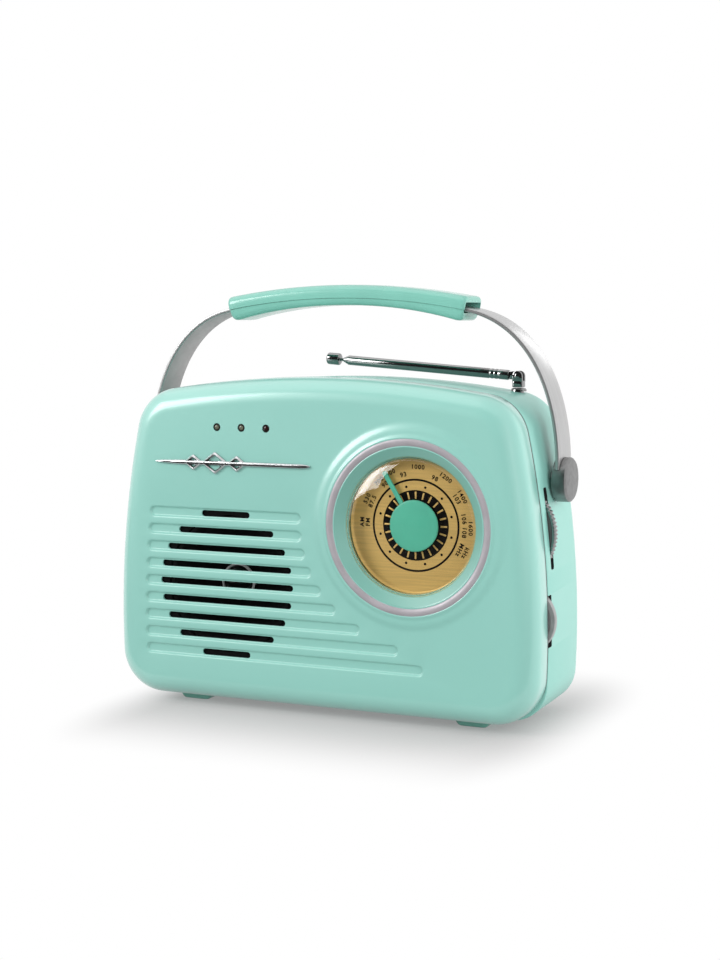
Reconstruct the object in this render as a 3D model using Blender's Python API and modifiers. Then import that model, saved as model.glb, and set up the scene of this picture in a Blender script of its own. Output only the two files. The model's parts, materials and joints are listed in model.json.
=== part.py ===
"""Portable radio with a carry handle, a tuning dial and a telescopic antenna.

Sizes are in metres. +Z is up, the front faces -Y, and the origin is under the middle of the case at
the surface that it stands on. A depth is measured back from the flat of the front face.
"""
import math

import bmesh
import bpy
from mathutils import Matrix, Vector

MM = 0.001
GAP = 0.3 * MM
SOFT_EDGE = 0.8 * MM
MERGE = 0.001 * MM

# Case
CASE_HALF_WIDTH = 129.5 * MM
CASE_TOP = 191 * MM
CASE_DEPTH = 92 * MM
SIDE_RADIUS = 530 * MM
SIDE_WIDEST_HEIGHT = 50 * MM
TOP_RADIUS = 602 * MM
TOP_CORNER = 27 * MM
FRONT_LOW_CORNER = 26 * MM
REAR_LOW_CORNER = 21 * MM
FRONT_FILLET = 13 * MM
BACK_FILLET = 16 * MM
WALL = 2.5 * MM
FRONT_DEPTH = 22.5 * MM
TRIM_THICKNESS = 1 * MM
TRIM_LIP = 3.5 * MM
REAR_DRAFT = 1.5 * MM

# Feet
FOOT_HEIGHT = 4.8 * MM
FOOT_FROM_SIDE = 42.5 * MM
FOOT_BOTTOM = 16 * MM
FOOT_TOP = 23 * MM
FOOT_LENGTH = 14 * MM
FOOT_FRONT_DEPTH = 20 * MM
FOOT_BACK_MARGIN = 24 * MM

# Sound slots and grooves
SLOT_COUNT = 9
SLOT_PITCH = 10 * MM
SLOT_HEIGHT = 3 * MM
GROOVE_HEIGHT = 5.6 * MM
GROOVE_DEPTH = 1.1 * MM
GROOVE_EDGE_MARGIN = 21 * MM
GROOVE_FROM_TERRACE = 11.7 * MM
LOW_GROOVES_PAST_DIAL = (-6 * MM, 9 * MM)
SLOT_FIELD_RADIUS = 42.7 * MM
SHORT_SLOT_HALF = 15.5 * MM
LONG_SLOT_HALF = 42.5 * MM

# Speaker
SPEAKER_FROM_SIDE = 75.3 * MM
SPEAKER_Z = 72.9 * MM
SPEAKER_RADIUS = 45 * MM
SPEAKER_FLANGE = 1.5 * MM
SPEAKER_RIM = 3.5 * MM
BASKET_SHEET = 1.9 * MM
SPEAKER_DEPTH = 25 * MM
MAGNET_RADIUS = 24 * MM
MAGNET_THICKNESS = 12 * MM
POLE_RADIUS = 7.4 * MM
CAP_RADIUS = 10.5 * MM
CONE_SHEET = 1 * MM

# Dial
DIAL_FROM_SIDE = 72.5 * MM
DIAL_BELOW_TOP = 79.9 * MM
RIDGE_HEIGHT = 2 * MM
TERRACE_HEIGHT = 1.2 * MM
TERRACE_FROM_RING = 5.2 * MM
TERRACE_FOOT = 3.4 * MM
RING_WIDTH = 3.6 * MM
RING_THICKNESS = 1.4 * MM
RING_PROUD = 2.3 * MM
LENS_RADIUS = 37.5 * MM
LENS_PROUD = 4 * MM
LENS_SHEET = 1.6 * MM
LENS_FLANGE = 3.2 * MM
BOWL_WIDTH = 7 * MM
BOWL_DEPTH = 3 * MM
BOWL_LIP = 2.2 * MM
PLATE_DEPTH = 11.3 * MM
PLATE_THICKNESS = 1 * MM
HUB_RADIUS = 14.2 * MM
HUB_DEPTH = 8 * MM
HUB_THICKNESS = 1.6 * MM
NEEDLE_SHORT_OF_LENS = 2 * MM
NEEDLE_WIDTH = 2.6 * MM
NEEDLE_REST = math.radians(31.7)

# Tuning drive
GEAR_MODULE = 2 * MM
GEAR_TEETH = 30
PINION_TEETH = 14
TOOTH_RISE = 0.8
TOOTH_FALL = 1.25
TOOTH_TIP_HALF = 0.35
TOOTH_ROOT_HALF = 0.93
TUNING_DROP = 4 * MM
GEAR_THICKNESS = 4 * MM
GEAR_CLEAR = 3.2 * MM
BRACKET_THICKNESS = 2 * MM
BRACKET_MARGIN = 6 * MM
BRACKET_POST_RADIUS = 3 * MM
BRACKET_HALF_HEIGHT = 23 * MM
BRACKET_PAST_TUNING = 3.2 * MM
DIAL_SHAFT_RADIUS = 1.5 * MM
TUNING_SHAFT_RADIUS = 2.5 * MM
TUNER_SIDE = 20 * MM
TUNER_THICKNESS = 8.5 * MM
TUNING_WHEEL_RADIUS = 29.5 * MM
TUNING_WHEEL_DEPTH = 32.3 * MM
TUNING_WHEEL_THICKNESS = 4 * MM
KNURL_COUNT = 60
KNURL_DEPTH = 0.8 * MM
WHEEL_SLOT_MARGIN = 3.6 * MM
WHEEL_CLEAR = 0.6 * MM

# Volume drive
VOLUME_PROUD = 3.2 * MM
VOLUME_BELOW_DIAL = 50.3 * MM
VOLUME_RADIUS = 19 * MM
VOLUME_THICKNESS = 4.4 * MM
POT_RADIUS = 8 * MM
POT_THICKNESS = 8.3 * MM
VOLUME_SHAFT_RADIUS = 2.5 * MM

# Lamps and front ornament
LAMP_BELOW_TOP = 28.6 * MM
LAMP_FROM_SIDE = 84.7 * MM
LAMP_PITCH = 15.6 * MM
LAMP_NAMES = ("lamp_left", "lamp_middle", "lamp_right")
LAMP_HOLE_RADIUS = 2.05 * MM
LAMP_LENGTH = 7 * MM
LAMP_FLANGE = 0.6 * MM
LAMP_PROUD = 0.2 * MM
ORNAMENT_BELOW_TOP = 49 * MM
ORNAMENT_FROM_SIDE = 29.5 * MM
ORNAMENT_FROM_DIAL = 58.4 * MM
ORNAMENT_BAR = 2 * MM
ORNAMENT_THICKNESS = 1.6 * MM
LOZENGE_FROM_END = 38.5 * MM
LOZENGE_HALF_WIDTH = 9 * MM
LOZENGE_HALF_HEIGHT = 6.5 * MM
LOZENGE_PITCH = 14 * MM
LOZENGE_RIM = 1.7 * MM
LOZENGE_SIDE_SIZE = 0.72

# Case screws
BOSS_UPPER_FROM_SIDE = 55.5 * MM
BOSS_BELOW_TOP = 26 * MM
BOSS_LOWER_FROM_SIDE = 29.5 * MM
BOSS_BELOW_BOARD = 14 * MM
BOSS_RADIUS = 4.5 * MM
BOSS_END = 45 * MM
POST_RADIUS = 6.5 * MM
SCREW_SEAT = 5 * MM
SCREW_HEAD_RADIUS = 3.5 * MM
SCREW_HEAD_THICKNESS = 2.5 * MM
SCREW_RADIUS = 1.3 * MM
SCREW_REACH = 9 * MM

# Circuit board
BOARD_FROM_TRAY = 6 * MM
BOARD_FROM_SIDE = 7.5 * MM
BOARD_BELOW_VOLUME = 12.8 * MM
BOARD_ABOVE_VOLUME = 37.2 * MM
BOARD_THICKNESS = 1.6 * MM
BOARD_POST_RADIUS = 3 * MM
BOARD_POST_INSET = 6 * MM
ROD_RADIUS = 4 * MM
ROD_SHORT_OF_BOARD = 10 * MM
COIL_THICKNESS = 1.6 * MM
COIL_LENGTH = 22 * MM

# Batteries
CELL_RADIUS = 13 * MM
CELL_LENGTH = 50 * MM
CELL_ROW_Z = 53 * MM
CONTACT_THICKNESS = 0.8 * MM
TRAY_WALL = 2 * MM
DOOR_THICKNESS = 2.2 * MM

# Rear controls and sockets
REAR_FROM_SIDE = 51.5 * MM
INLET_SIZE = (22 * MM, 14 * MM)
INLET_RECESS = (16 * MM, 8 * MM)
INLET_Z = 42 * MM
INLET_LENGTH = 14 * MM
AUX_Z = 66 * MM
AUX_RADIUS = 4.5 * MM
AUX_BORE = 1.8 * MM
AUX_LENGTH = 12 * MM
USB_Z = 84 * MM
USB_SIZE = (14 * MM, 7 * MM)
USB_RECESS = (12 * MM, 5 * MM)
USB_LENGTH = 14 * MM
SLIDER_Z = 104 * MM
SLIDER_SIZE = (6 * MM, 4 * MM)
SLIDER_TRAVEL = 4 * MM
SLIDER_LENGTH = 8 * MM
BUTTON_Z = 128 * MM
BUTTON_RADIUS = 5 * MM
BUTTON_LENGTH = 9 * MM

# Handle
PIVOT_DEPTH = 52 * MM
PIVOT_BELOW_TOP = 55.4 * MM
DRUM_RADIUS = 12.3 * MM
DRUM_THICKNESS = 8.3 * MM
DRUM_SIDE_CLEAR = 0.5 * MM
PIN_RADIUS = 4 * MM
PIN_HEAD_RADIUS = 6 * MM
PIN_HEAD_THICKNESS = 2.5 * MM
PIN_INTO_DRUM = 3.5 * MM
STRAP_WIDTH = 22 * MM
STRAP_THICKNESS = 3 * MM
STRAP_END_ABOVE_PIN = 6 * MM
STRAP_FROM_DRUM_FACE = 3.8 * MM
STRAP_SHOULDER = 46 * MM
STRAP_BEND = 35 * MM
GRIP_ABOVE_CASE = 51.6 * MM
GRIP_RADIUS = 413 * MM
GRIP_FROM_SIDE = 55.5 * MM
GRIP_THICKNESS = 12 * MM
GRIP_SEAM = 7.5 * MM
GRIP_WIDTH = 27 * MM
GRIP_ROUND = 3.2 * MM

# Antenna
ANTENNA_FROM_SIDE = 34.5 * MM
ANTENNA_DEPTH = 70 * MM
ANTENNA_RISE = math.radians(4.2)
ANTENNA_HINGE_ABOVE = 7.8 * MM
BASE_RADIUS = 4.5 * MM
BASE_FLANGE = 1.2 * MM
BASE_SHANK_RADIUS = 2.9 * MM
BASE_SHANK_LENGTH = 12 * MM
FORK_SIDE = 6.2 * MM
TONGUE_THICKNESS = 2.2 * MM
TONGUE_RADIUS = 2.3 * MM
TUBE_START = 5.5 * MM
TUBE_FLOOR = 2.5 * MM
TUBE_END = 106 * MM
TUBE_RADIUS = 2.85 * MM
TUBE_SHEET = 0.35 * MM
TUBE_NAMES = ("antenna_tube_outer", "antenna_tube_middle", "antenna_tube_inner")
TUBE_STEP = 1.4 * MM
TIP_RADIUS = 3.5 * MM
TIP_LENGTH = 9 * MM

# Values that follow from the sizes above
FACE_Y = -(CASE_DEPTH - LENS_PROUD) / 2
TRIM_DEPTH = FRONT_DEPTH + GAP
REAR_START = TRIM_DEPTH + TRIM_THICKNESS + GAP
FOOT_OFFSET = CASE_HALF_WIDTH - FOOT_FROM_SIDE
SPEAKER_X = SPEAKER_FROM_SIDE - CASE_HALF_WIDTH
DIAL_X = CASE_HALF_WIDTH - DIAL_FROM_SIDE
DIAL_Z = CASE_TOP - DIAL_BELOW_TOP
RING_INNER = LENS_RADIUS + BOWL_WIDTH
RING_OUTER = RING_INNER + RING_WIDTH
TERRACE_RADIUS = RING_OUTER + TERRACE_FROM_RING
NEEDLE_TIP = LENS_RADIUS - NEEDLE_SHORT_OF_LENS
GROOVE_DIAL_RADIUS = TERRACE_RADIUS + GROOVE_FROM_TERRACE
LOW_GROOVE_ENDS = [DIAL_X + past for past in LOW_GROOVES_PAST_DIAL]
GEAR_DISTANCE = GEAR_MODULE * (GEAR_TEETH + PINION_TEETH) / 2
TUNING_X = DIAL_X + math.sqrt(GEAR_DISTANCE ** 2 - TUNING_DROP ** 2)
TUNING_Z = DIAL_Z - TUNING_DROP
BRACKET_REACH = TUNING_X - DIAL_X + BRACKET_PAST_TUNING
VOLUME_Z = DIAL_Z - VOLUME_BELOW_DIAL
MESH_ANGLE = math.atan2(TUNING_Z - DIAL_Z, TUNING_X - DIAL_X)
GEAR_DEPTH = PLATE_DEPTH + PLATE_THICKNESS + GEAR_CLEAR
BRACKET_DEPTH = GEAR_DEPTH + GEAR_THICKNESS + 3 * GAP
TUNER_DEPTH = BRACKET_DEPTH + BRACKET_THICKNESS + GAP
VOLUME_DEPTH = REAR_START + WHEEL_CLEAR
POT_DEPTH = VOLUME_DEPTH + VOLUME_THICKNESS + WHEEL_CLEAR
BOARD_DEPTH = POT_DEPTH + POT_THICKNESS + GAP
LAMP_Z = CASE_TOP - LAMP_BELOW_TOP
LAMP_X = [LAMP_FROM_SIDE - CASE_HALF_WIDTH + side * LAMP_PITCH for side in (-1, 0, 1)]
ORNAMENT_Z = CASE_TOP - ORNAMENT_BELOW_TOP
ORNAMENT_LEFT = ORNAMENT_FROM_SIDE - CASE_HALF_WIDTH
ORNAMENT_RIGHT = DIAL_X - ORNAMENT_FROM_DIAL
LOZENGE_X = ORNAMENT_LEFT + LOZENGE_FROM_END
POST_START = BOSS_END + GAP
CELL_PITCH = 2 * CELL_RADIUS + 2 * GAP
TRAY_HALF_LENGTH = CELL_LENGTH + CONTACT_THICKNESS + 4 * GAP
TRAY_HALF_HEIGHT = CELL_RADIUS + CELL_PITCH / 2 + GAP
BOARD_LEFT = TRAY_HALF_LENGTH + BOARD_FROM_TRAY
BOARD_RIGHT = CASE_HALF_WIDTH - BOARD_FROM_SIDE
BOARD_BOTTOM = VOLUME_Z - BOARD_BELOW_VOLUME
BOARD_TOP = VOLUME_Z + BOARD_ABOVE_VOLUME
ROD_LENGTH = BOARD_RIGHT - BOARD_LEFT - ROD_SHORT_OF_BOARD
BOSS_UPPER = (CASE_HALF_WIDTH - BOSS_UPPER_FROM_SIDE, CASE_TOP - BOSS_BELOW_TOP)
BOSS_LOWER = (CASE_HALF_WIDTH - BOSS_LOWER_FROM_SIDE, BOARD_BOTTOM - BOSS_BELOW_BOARD)
REAR_X = REAR_FROM_SIDE - CASE_HALF_WIDTH
DOOR_DEPTH = CASE_DEPTH - DOOR_THICKNESS
CELL_DEPTH = DOOR_DEPTH - 5 * GAP - CELL_RADIUS
PIVOT_Z = CASE_TOP - PIVOT_BELOW_TOP
STRAP_RADIUS = GRIP_RADIUS - GRIP_SEAM
GRIP_TOP = CASE_TOP + GRIP_ABOVE_CASE
GRIP_CENTRE_Z = GRIP_TOP - GRIP_RADIUS
GRIP_HALF_LENGTH = CASE_HALF_WIDTH - GRIP_FROM_SIDE
ANTENNA_X = CASE_HALF_WIDTH - ANTENNA_FROM_SIDE

FACING_FRONT = Matrix.Rotation(math.pi / 2, 4, "X")
FACING_RIGHT = Matrix.Rotation(math.pi / 2, 4, "Y")
FACING_LEFT = Matrix.Rotation(-math.pi / 2, 4, "Y")
UPRIGHT = Matrix.Identity(4)

# Colour, roughness and metallic value of each finish
FINISHES = {
    "mint": ((0.34, 0.68, 0.60), 0.25, 0.0),
    "deep_mint": ((0.20, 0.60, 0.48), 0.35, 0.0),
    "silver": ((0.55, 0.54, 0.55), 0.35, 0.9),
    "chrome": ((0.80, 0.80, 0.80), 0.08, 1.0),
    "aluminium": ((0.62, 0.61, 0.60), 0.35, 1.0),
    "gold": ((0.52, 0.36, 0.12), 0.35, 0.6),
    "clear": ((0.95, 0.97, 0.97), 0.03, 0.0),
    "black": ((0.02, 0.02, 0.02), 0.6, 0.0),
    "board": ((0.05, 0.22, 0.10), 0.5, 0.0),
    "steel": ((0.50, 0.50, 0.50), 0.3, 1.0),
    "brass": ((0.60, 0.42, 0.15), 0.35, 1.0),
    "white": ((0.75, 0.74, 0.70), 0.5, 0.0),
    "lamp": ((0.25, 0.27, 0.18), 0.2, 0.0),
    "copper": ((0.55, 0.24, 0.10), 0.4, 0.8),
    "cell": ((0.10, 0.10, 0.12), 0.4, 0.2),
}


def clear_scene():
    for item in list(bpy.data.objects):
        bpy.data.objects.remove(item, do_unlink=True)


def collection(name):
    group = bpy.data.collections.new(name)
    bpy.context.scene.collection.children.link(group)
    return group


clear_scene()
PARTS = collection("portable_radio")
CUTTERS = collection("cutters")


def finish_material(name, finish):
    """One material for one sub-part."""
    colour, roughness, metallic = FINISHES[finish]
    material = bpy.data.materials.new(name)
    material.use_nodes = True
    shader = material.node_tree.nodes["Principled BSDF"]
    shader.inputs["Base Color"].default_value = (*colour, 1.0)
    shader.inputs["Roughness"].default_value = roughness
    shader.inputs["Metallic"].default_value = metallic
    return material


def at(x, depth, z, facing=UPRIGHT):
    """Where a piece stands, from its place across, back from the face and up."""
    return Matrix.Translation((x, FACE_Y + depth, z)) @ facing


def add(name, mesh, matrix, finish=None):
    """Add a mesh as a sub-part, or as a cutter where it has no finish."""
    item = bpy.data.objects.new(name, mesh)
    item.matrix_world = matrix
    if finish is None:
        CUTTERS.objects.link(item)
        item.hide_render = True
        item.display_type = "WIRE"
    else:
        PARTS.objects.link(item)
        mesh.materials.append(finish_material(name, finish))
    return item


def mesh_of(name, build, recalculate=True):
    """A mesh made by a function that fills a bmesh."""
    work = bmesh.new()
    build(work)
    if recalculate:
        bmesh.ops.recalc_face_normals(work, faces=work.faces)
    mesh = bpy.data.meshes.new(name)
    work.to_mesh(mesh)
    work.free()
    return mesh


def box_mesh(name, size):
    def build(work):
        bmesh.ops.create_cube(work, size=1.0, matrix=Matrix.Diagonal((*size, 1.0)))
    return mesh_of(name, build)


def rod_mesh(name, radius, length, sides=24):
    """A round bar along local Z, middle at the origin."""
    def build(work):
        bmesh.ops.create_cone(work, cap_ends=True, segments=sides, radius1=radius,
                              radius2=radius, depth=length)
    return mesh_of(name, build)


def settle(item):
    """Swap an object's curve or modifiers for the plain mesh that they make."""
    bpy.context.view_layer.update()
    graph = bpy.context.evaluated_depsgraph_get()
    mesh = bpy.data.meshes.new_from_object(item.evaluated_get(graph))
    mesh.name = item.name
    work = bmesh.new()
    work.from_mesh(mesh)
    bmesh.ops.remove_doubles(work, verts=work.verts, dist=MERGE)
    work.to_mesh(mesh)
    work.free()
    return mesh


def plate_mesh(name, outlines, thickness):
    """A flat outline in local XY, with any holes after it, extruded evenly along Z."""
    curve = bpy.data.curves.new(name, "CURVE")
    curve.dimensions = "2D"
    curve.fill_mode = "BOTH"
    curve.extrude = thickness / 2
    for outline in outlines:
        spline = curve.splines.new("POLY")
        spline.points.add(len(outline) - 1)
        spline.use_cyclic_u = True
        for point, (x, y) in zip(spline.points, outline):
            point.co = (x, y, 0.0, 1.0)
    item = bpy.data.objects.new(name, curve)
    CUTTERS.objects.link(item)
    mesh = settle(item)
    bpy.data.objects.remove(item, do_unlink=True)
    bpy.data.curves.remove(curve)
    return mesh


def turned_mesh(name, profile, sides=32):
    """A profile of (radius, height) points turned about local Z. It runs down its outer side."""
    mesh = bpy.data.meshes.new(name)
    points = [(radius, 0.0, height) for radius, height in profile]
    closed = profile[0][0] > 0 and profile[-1][0] > 0
    edges = [(i, i + 1) for i in range(len(points) - 1)]
    if closed:
        edges.append((len(points) - 1, 0))
    mesh.from_pydata(points, edges, [])
    item = bpy.data.objects.new(name, mesh)
    CUTTERS.objects.link(item)
    screw = item.modifiers.new("turn", "SCREW")
    screw.steps = sides
    screw.render_steps = sides
    screw.use_merge_vertices = True
    screw.merge_threshold = MERGE
    result = settle(item)
    bpy.data.objects.remove(item, do_unlink=True)
    bpy.data.meshes.remove(mesh)
    return result


def at_depths(profile):
    """A profile given as (radius, depth) turned into (radius, height towards the front)."""
    return [(radius, -depth) for radius, depth in profile]


def boolean(item, tool, operation):
    step = item.modifiers.new(tool.name, "BOOLEAN")
    step.operation = operation
    step.solver = "EXACT"
    step.object = tool


def cut(item, tool):
    boolean(item, tool, "DIFFERENCE")


def join(item, tool):
    boolean(item, tool, "UNION")


def cutter(name, mesh, matrix):
    return add(name, mesh, matrix)


def axis_empty(name, location, children):
    """An empty on a joint's axis that carries the pieces that turn or slide on it."""
    empty = bpy.data.objects.new(name, None)
    empty.location = location
    PARTS.objects.link(empty)
    bpy.context.view_layer.update()
    for child in children:
        child.parent = empty
        child.matrix_parent_inverse = empty.matrix_world.inverted()
    return empty


def arc(centre, radius, start, end, steps):
    """Points on an arc, angles in radians, both ends included."""
    points = []
    for i in range(steps + 1):
        angle = start + (end - start) * i / steps
        points.append((centre[0] + radius * math.cos(angle), centre[1] + radius * math.sin(angle)))
    return points


def circle(centre, radius, steps=24):
    return arc(centre, radius, 0.0, 2 * math.pi, steps)[:-1]


def rectangle(half_x, half_z, centre=(0.0, 0.0)):
    x, z = centre
    return [(x - half_x, z - half_z), (x + half_x, z - half_z),
            (x + half_x, z + half_z), (x - half_x, z + half_z)]


def meeting_point(first, first_radius, second, second_radius):
    """The right-hand, upper crossing of two circles."""
    between = Vector(second) - Vector(first)
    distance = between.length
    along = (distance ** 2 + first_radius ** 2 - second_radius ** 2) / (2 * distance)
    off = math.sqrt(first_radius ** 2 - along ** 2)
    unit = between / distance
    middle = Vector(first) + unit * along
    crossings = [middle + Vector((-unit.y, unit.x)) * off * sign for sign in (1, -1)]
    return max(crossings, key=lambda point: point.y)


SIDE_CENTRE = (CASE_HALF_WIDTH - SIDE_RADIUS, SIDE_WIDEST_HEIGHT)
TOP_CENTRE = (0.0, CASE_TOP - TOP_RADIUS)
HIGH_CORNER = meeting_point(SIDE_CENTRE, SIDE_RADIUS - TOP_CORNER,
                            TOP_CENTRE, TOP_RADIUS - TOP_CORNER)


def bearing(centre, point):
    return math.atan2(point[1] - centre[1], point[0] - centre[0])


def low_corner(radius):
    """Centre of a lower corner's round, which touches the flat bottom and the bowed side."""
    z = FOOT_HEIGHT + radius
    reach = math.sqrt((SIDE_RADIUS - radius) ** 2 - (z - SIDE_WIDEST_HEIGHT) ** 2)
    return SIDE_CENTRE[0] + reach, z


def case_outline(inset=0.0, low_radius=FRONT_LOW_CORNER):
    """The case seen from the front, inset evenly: flat bottom, bowed sides, arched top."""
    centre = low_corner(low_radius)
    low = bearing(SIDE_CENTRE, centre)
    high = bearing(SIDE_CENTRE, HIGH_CORNER)
    crown = bearing(TOP_CENTRE, HIGH_CORNER)
    right = arc(centre, low_radius - inset, -math.pi / 2, low, 6)
    right += arc(SIDE_CENTRE, SIDE_RADIUS - inset, low, high, 6)[1:]
    right += arc(HIGH_CORNER, TOP_CORNER - inset, high, crown, 7)[1:]
    right += arc(TOP_CENTRE, TOP_RADIUS - inset, crown, math.pi / 2, 5)[1:]
    left = [(-x, z) for x, z in reversed(right[:-1])]
    return right + left


def rear_inset(depth):
    """How far the drafted rear shell has drawn in at a depth."""
    return REAR_DRAFT * max(0.0, depth - REAR_START) / (CASE_DEPTH - REAR_START)


def half_width(z, depth):
    """Half the width of the case on its bowed side at a height and depth."""
    radius = SIDE_RADIUS - rear_inset(depth)
    return SIDE_CENTRE[0] + math.sqrt(radius ** 2 - (z - SIDE_WIDEST_HEIGHT) ** 2)


def top_height(x, depth):
    """Height of the arched top at a place across and a depth."""
    radius = TOP_RADIUS - rear_inset(depth)
    return TOP_CENTRE[1] + math.sqrt(radius ** 2 - x ** 2)


def shell_mesh(name, open_depth, shut_depth, draft, fillet, low_radius, segments=5):
    """An open tray: sections of the case outline, drawn in by the draft and by the round of the rim."""
    span = abs(shut_depth - open_depth)
    towards_open = math.copysign(1.0, open_depth - shut_depth)
    sections = [(open_depth, 0.0)]
    for i in range(segments + 1):
        angle = math.pi / 2 * i / segments
        from_shut = fillet * (1 - math.sin(angle))
        inset = draft * (1 - from_shut / span) + fillet * (1 - math.cos(angle))
        sections.append((shut_depth + towards_open * from_shut, inset))

    def build(work):
        rings = []
        for depth, inset in sections:
            outline = case_outline(inset, low_radius)
            rings.append([work.verts.new((x, FACE_Y + depth, z)) for x, z in outline])
        for near, far in zip(rings, rings[1:]):
            for i, vert in enumerate(near):
                work.faces.new((near[i - 1], vert, far[i], far[i - 1]))
        cap = work.faces.new(rings[-1])
        bmesh.ops.recalc_face_normals(work, faces=work.faces)
        if cap.normal.y * towards_open > 0:
            bmesh.ops.reverse_faces(work, faces=work.faces)
    return mesh_of(name, build, recalculate=False)


def thicken(item):
    wall = item.modifiers.new("wall", "SOLIDIFY")
    wall.thickness = WALL
    wall.offset = -1.0
    wall.use_even_offset = True


def groove_heights():
    middle = (SLOT_COUNT - 1) / 2
    return [SPEAKER_Z + (middle - i) * SLOT_PITCH for i in range(SLOT_COUNT)]


def groove_right_end(index, z):
    """Upper grooves stop on a circle round the dial, the lowest ones run on beneath it."""
    from_last = SLOT_COUNT - 1 - index
    if from_last < len(LOW_GROOVE_ENDS):
        return LOW_GROOVE_ENDS[len(LOW_GROOVE_ENDS) - 1 - from_last]
    away = min(abs(z - DIAL_Z), GROOVE_DIAL_RADIUS)
    return DIAL_X - math.sqrt(GROOVE_DIAL_RADIUS ** 2 - away ** 2)


def slot_half_length(z):
    """Slots fill a rounded field over the speaker."""
    away = abs(z - SPEAKER_Z)
    reach = math.sqrt(max(0.0, SLOT_FIELD_RADIUS ** 2 - away ** 2))
    return min(LONG_SLOT_HALF, max(SHORT_SLOT_HALF, reach))


def bar_outline(left, right, z, height):
    """A level bar with round ends."""
    radius = height / 2
    return (arc((right - radius, z), radius, -math.pi / 2, math.pi / 2, 4)
            + arc((left + radius, z), radius, math.pi / 2, 3 * math.pi / 2, 4))


def dial_surround_profile():
    """Ridge, terrace, ring seat and bowl of the dial, as (radius, depth)."""
    seat = RING_THICKNESS + GAP - RING_PROUD
    seat_outer = RING_OUTER + GAP
    seat_inner = RING_INNER - GAP
    lens_hole = LENS_RADIUS + GAP
    skirt_inner = LENS_RADIUS + LENS_FLANGE + GAP
    skirt_outer = skirt_inner + WALL
    terrace_width = TERRACE_RADIUS - seat_outer
    foot = TERRACE_RADIUS + TERRACE_FOOT
    back = WALL + 2 * GAP
    lip = seat - SOFT_EDGE
    return [
        (seat_outer + 0.15 * terrace_width, -RIDGE_HEIGHT),
        (seat_outer + 0.45 * terrace_width, -TERRACE_HEIGHT),
        (TERRACE_RADIUS, -TERRACE_HEIGHT),
        (TERRACE_RADIUS + 0.5 * TERRACE_FOOT, -0.45 * TERRACE_HEIGHT),
        (foot, 0.25 * WALL),
        (foot, 0.65 * WALL),
        (foot - WALL, back),
        (skirt_outer, back),
        (skirt_outer, PLATE_DEPTH - GAP),
        (skirt_inner, PLATE_DEPTH - GAP),
        (skirt_inner, BOWL_DEPTH + BOWL_LIP),
        (lens_hole, BOWL_DEPTH + BOWL_LIP),
        (lens_hole, BOWL_DEPTH),
        (lens_hole + 0.3 * (seat_inner - lens_hole), 0.45 * BOWL_DEPTH),
        (lens_hole + 0.7 * (seat_inner - lens_hole), lip + 0.25 * (BOWL_DEPTH - lip)),
        (seat_inner, lip),
        (seat_inner, seat),
        (seat_outer, seat),
        (seat_outer, seat - RING_THICKNESS + GAP),
    ]


def boss_places():
    places = {}
    for name, (x, z) in (("upper", BOSS_UPPER), ("lower", BOSS_LOWER)):
        places[name + "_right"] = (x, z)
        places[name + "_left"] = (-x, z)
    return places


def bracket_corners():
    return [(DIAL_X + side * BRACKET_REACH, DIAL_Z + up * BRACKET_HALF_HEIGHT)
            for side in (-1, 1) for up in (-1, 1)]


def round_post(item, name, radius, x, z, start, end, sides=12):
    """A post moulded on a shell, from one depth to another."""
    mesh = rod_mesh(name, radius, end - start, sides)
    join(item, cutter(name, mesh, at(x, (start + end) / 2, z, FACING_FRONT)))


def round_hole(item, name, radius, x, z, start, end, sides=16):
    mesh = rod_mesh(name, radius, end - start, sides)
    cut(item, cutter(name, mesh, at(x, (start + end) / 2, z, FACING_FRONT)))


def box_cut(item, name, size, x, depth, z):
    cut(item, cutter(name, box_mesh(name, size), at(x, depth, z)))


def front_shell():
    mesh = shell_mesh("front_shell", FRONT_DEPTH, 0.0, 0.0, FRONT_FILLET, FRONT_LOW_CORNER)
    shell = add("front_shell", mesh, UPRIGHT, "mint")
    thicken(shell)
    through = 8 * WALL
    round_hole(shell, "dial_opening", TERRACE_RADIUS + 0.2 * TERRACE_FOOT, DIAL_X, DIAL_Z,
               -through, through, 40)
    surround = turned_mesh("dial_surround", at_depths(dial_surround_profile()), 40)
    join(shell, cutter("dial_surround", surround, at(DIAL_X, 0.0, DIAL_Z, FACING_FRONT)))
    for i, z in enumerate(groove_heights()):
        left = -half_width(z, 0.0) + GROOVE_EDGE_MARGIN
        right = groove_right_end(i, z)
        outline = bar_outline(left, right, z, GROOVE_HEIGHT)
        groove = plate_mesh("groove", [outline], 2 * GROOVE_DEPTH)
        cut(shell, cutter(f"groove_{i}", groove, at(0.0, 0.0, 0.0, FACING_FRONT)))
        half = slot_half_length(z)
        outline = bar_outline(SPEAKER_X - half, SPEAKER_X + half, z, SLOT_HEIGHT)
        slot = plate_mesh("slot", [outline], 4 * WALL)
        cut(shell, cutter(f"slot_{i}", slot, at(0.0, 0.0, 0.0, FACING_FRONT)))
    for name, x in zip(LAMP_NAMES, LAMP_X):
        round_hole(shell, name + "_hole", LAMP_HOLE_RADIUS, x, LAMP_Z, -through, through, 12)
    for i, (x, z) in enumerate(bracket_corners()):
        round_post(shell, f"bracket_post_{i}", BRACKET_POST_RADIUS, x, z, WALL / 2,
                   BRACKET_DEPTH - GAP)
    for name, (x, z) in boss_places().items():
        round_post(shell, "boss_" + name, BOSS_RADIUS, x, z, WALL / 2, BOSS_END)
        pilot = SCREW_REACH + 2 * GAP
        round_hole(shell, "pilot_" + name, SCREW_RADIUS + GAP, x, z, BOSS_END - pilot,
                   BOSS_END + pilot, 10)
    return shell


def back_opening(shell, name, half_x, half_z, x, z):
    """A square hole through the rear wall."""
    box_cut(shell, name, (2 * half_x, 6 * WALL, 2 * half_z), x, CASE_DEPTH, z)


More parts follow.
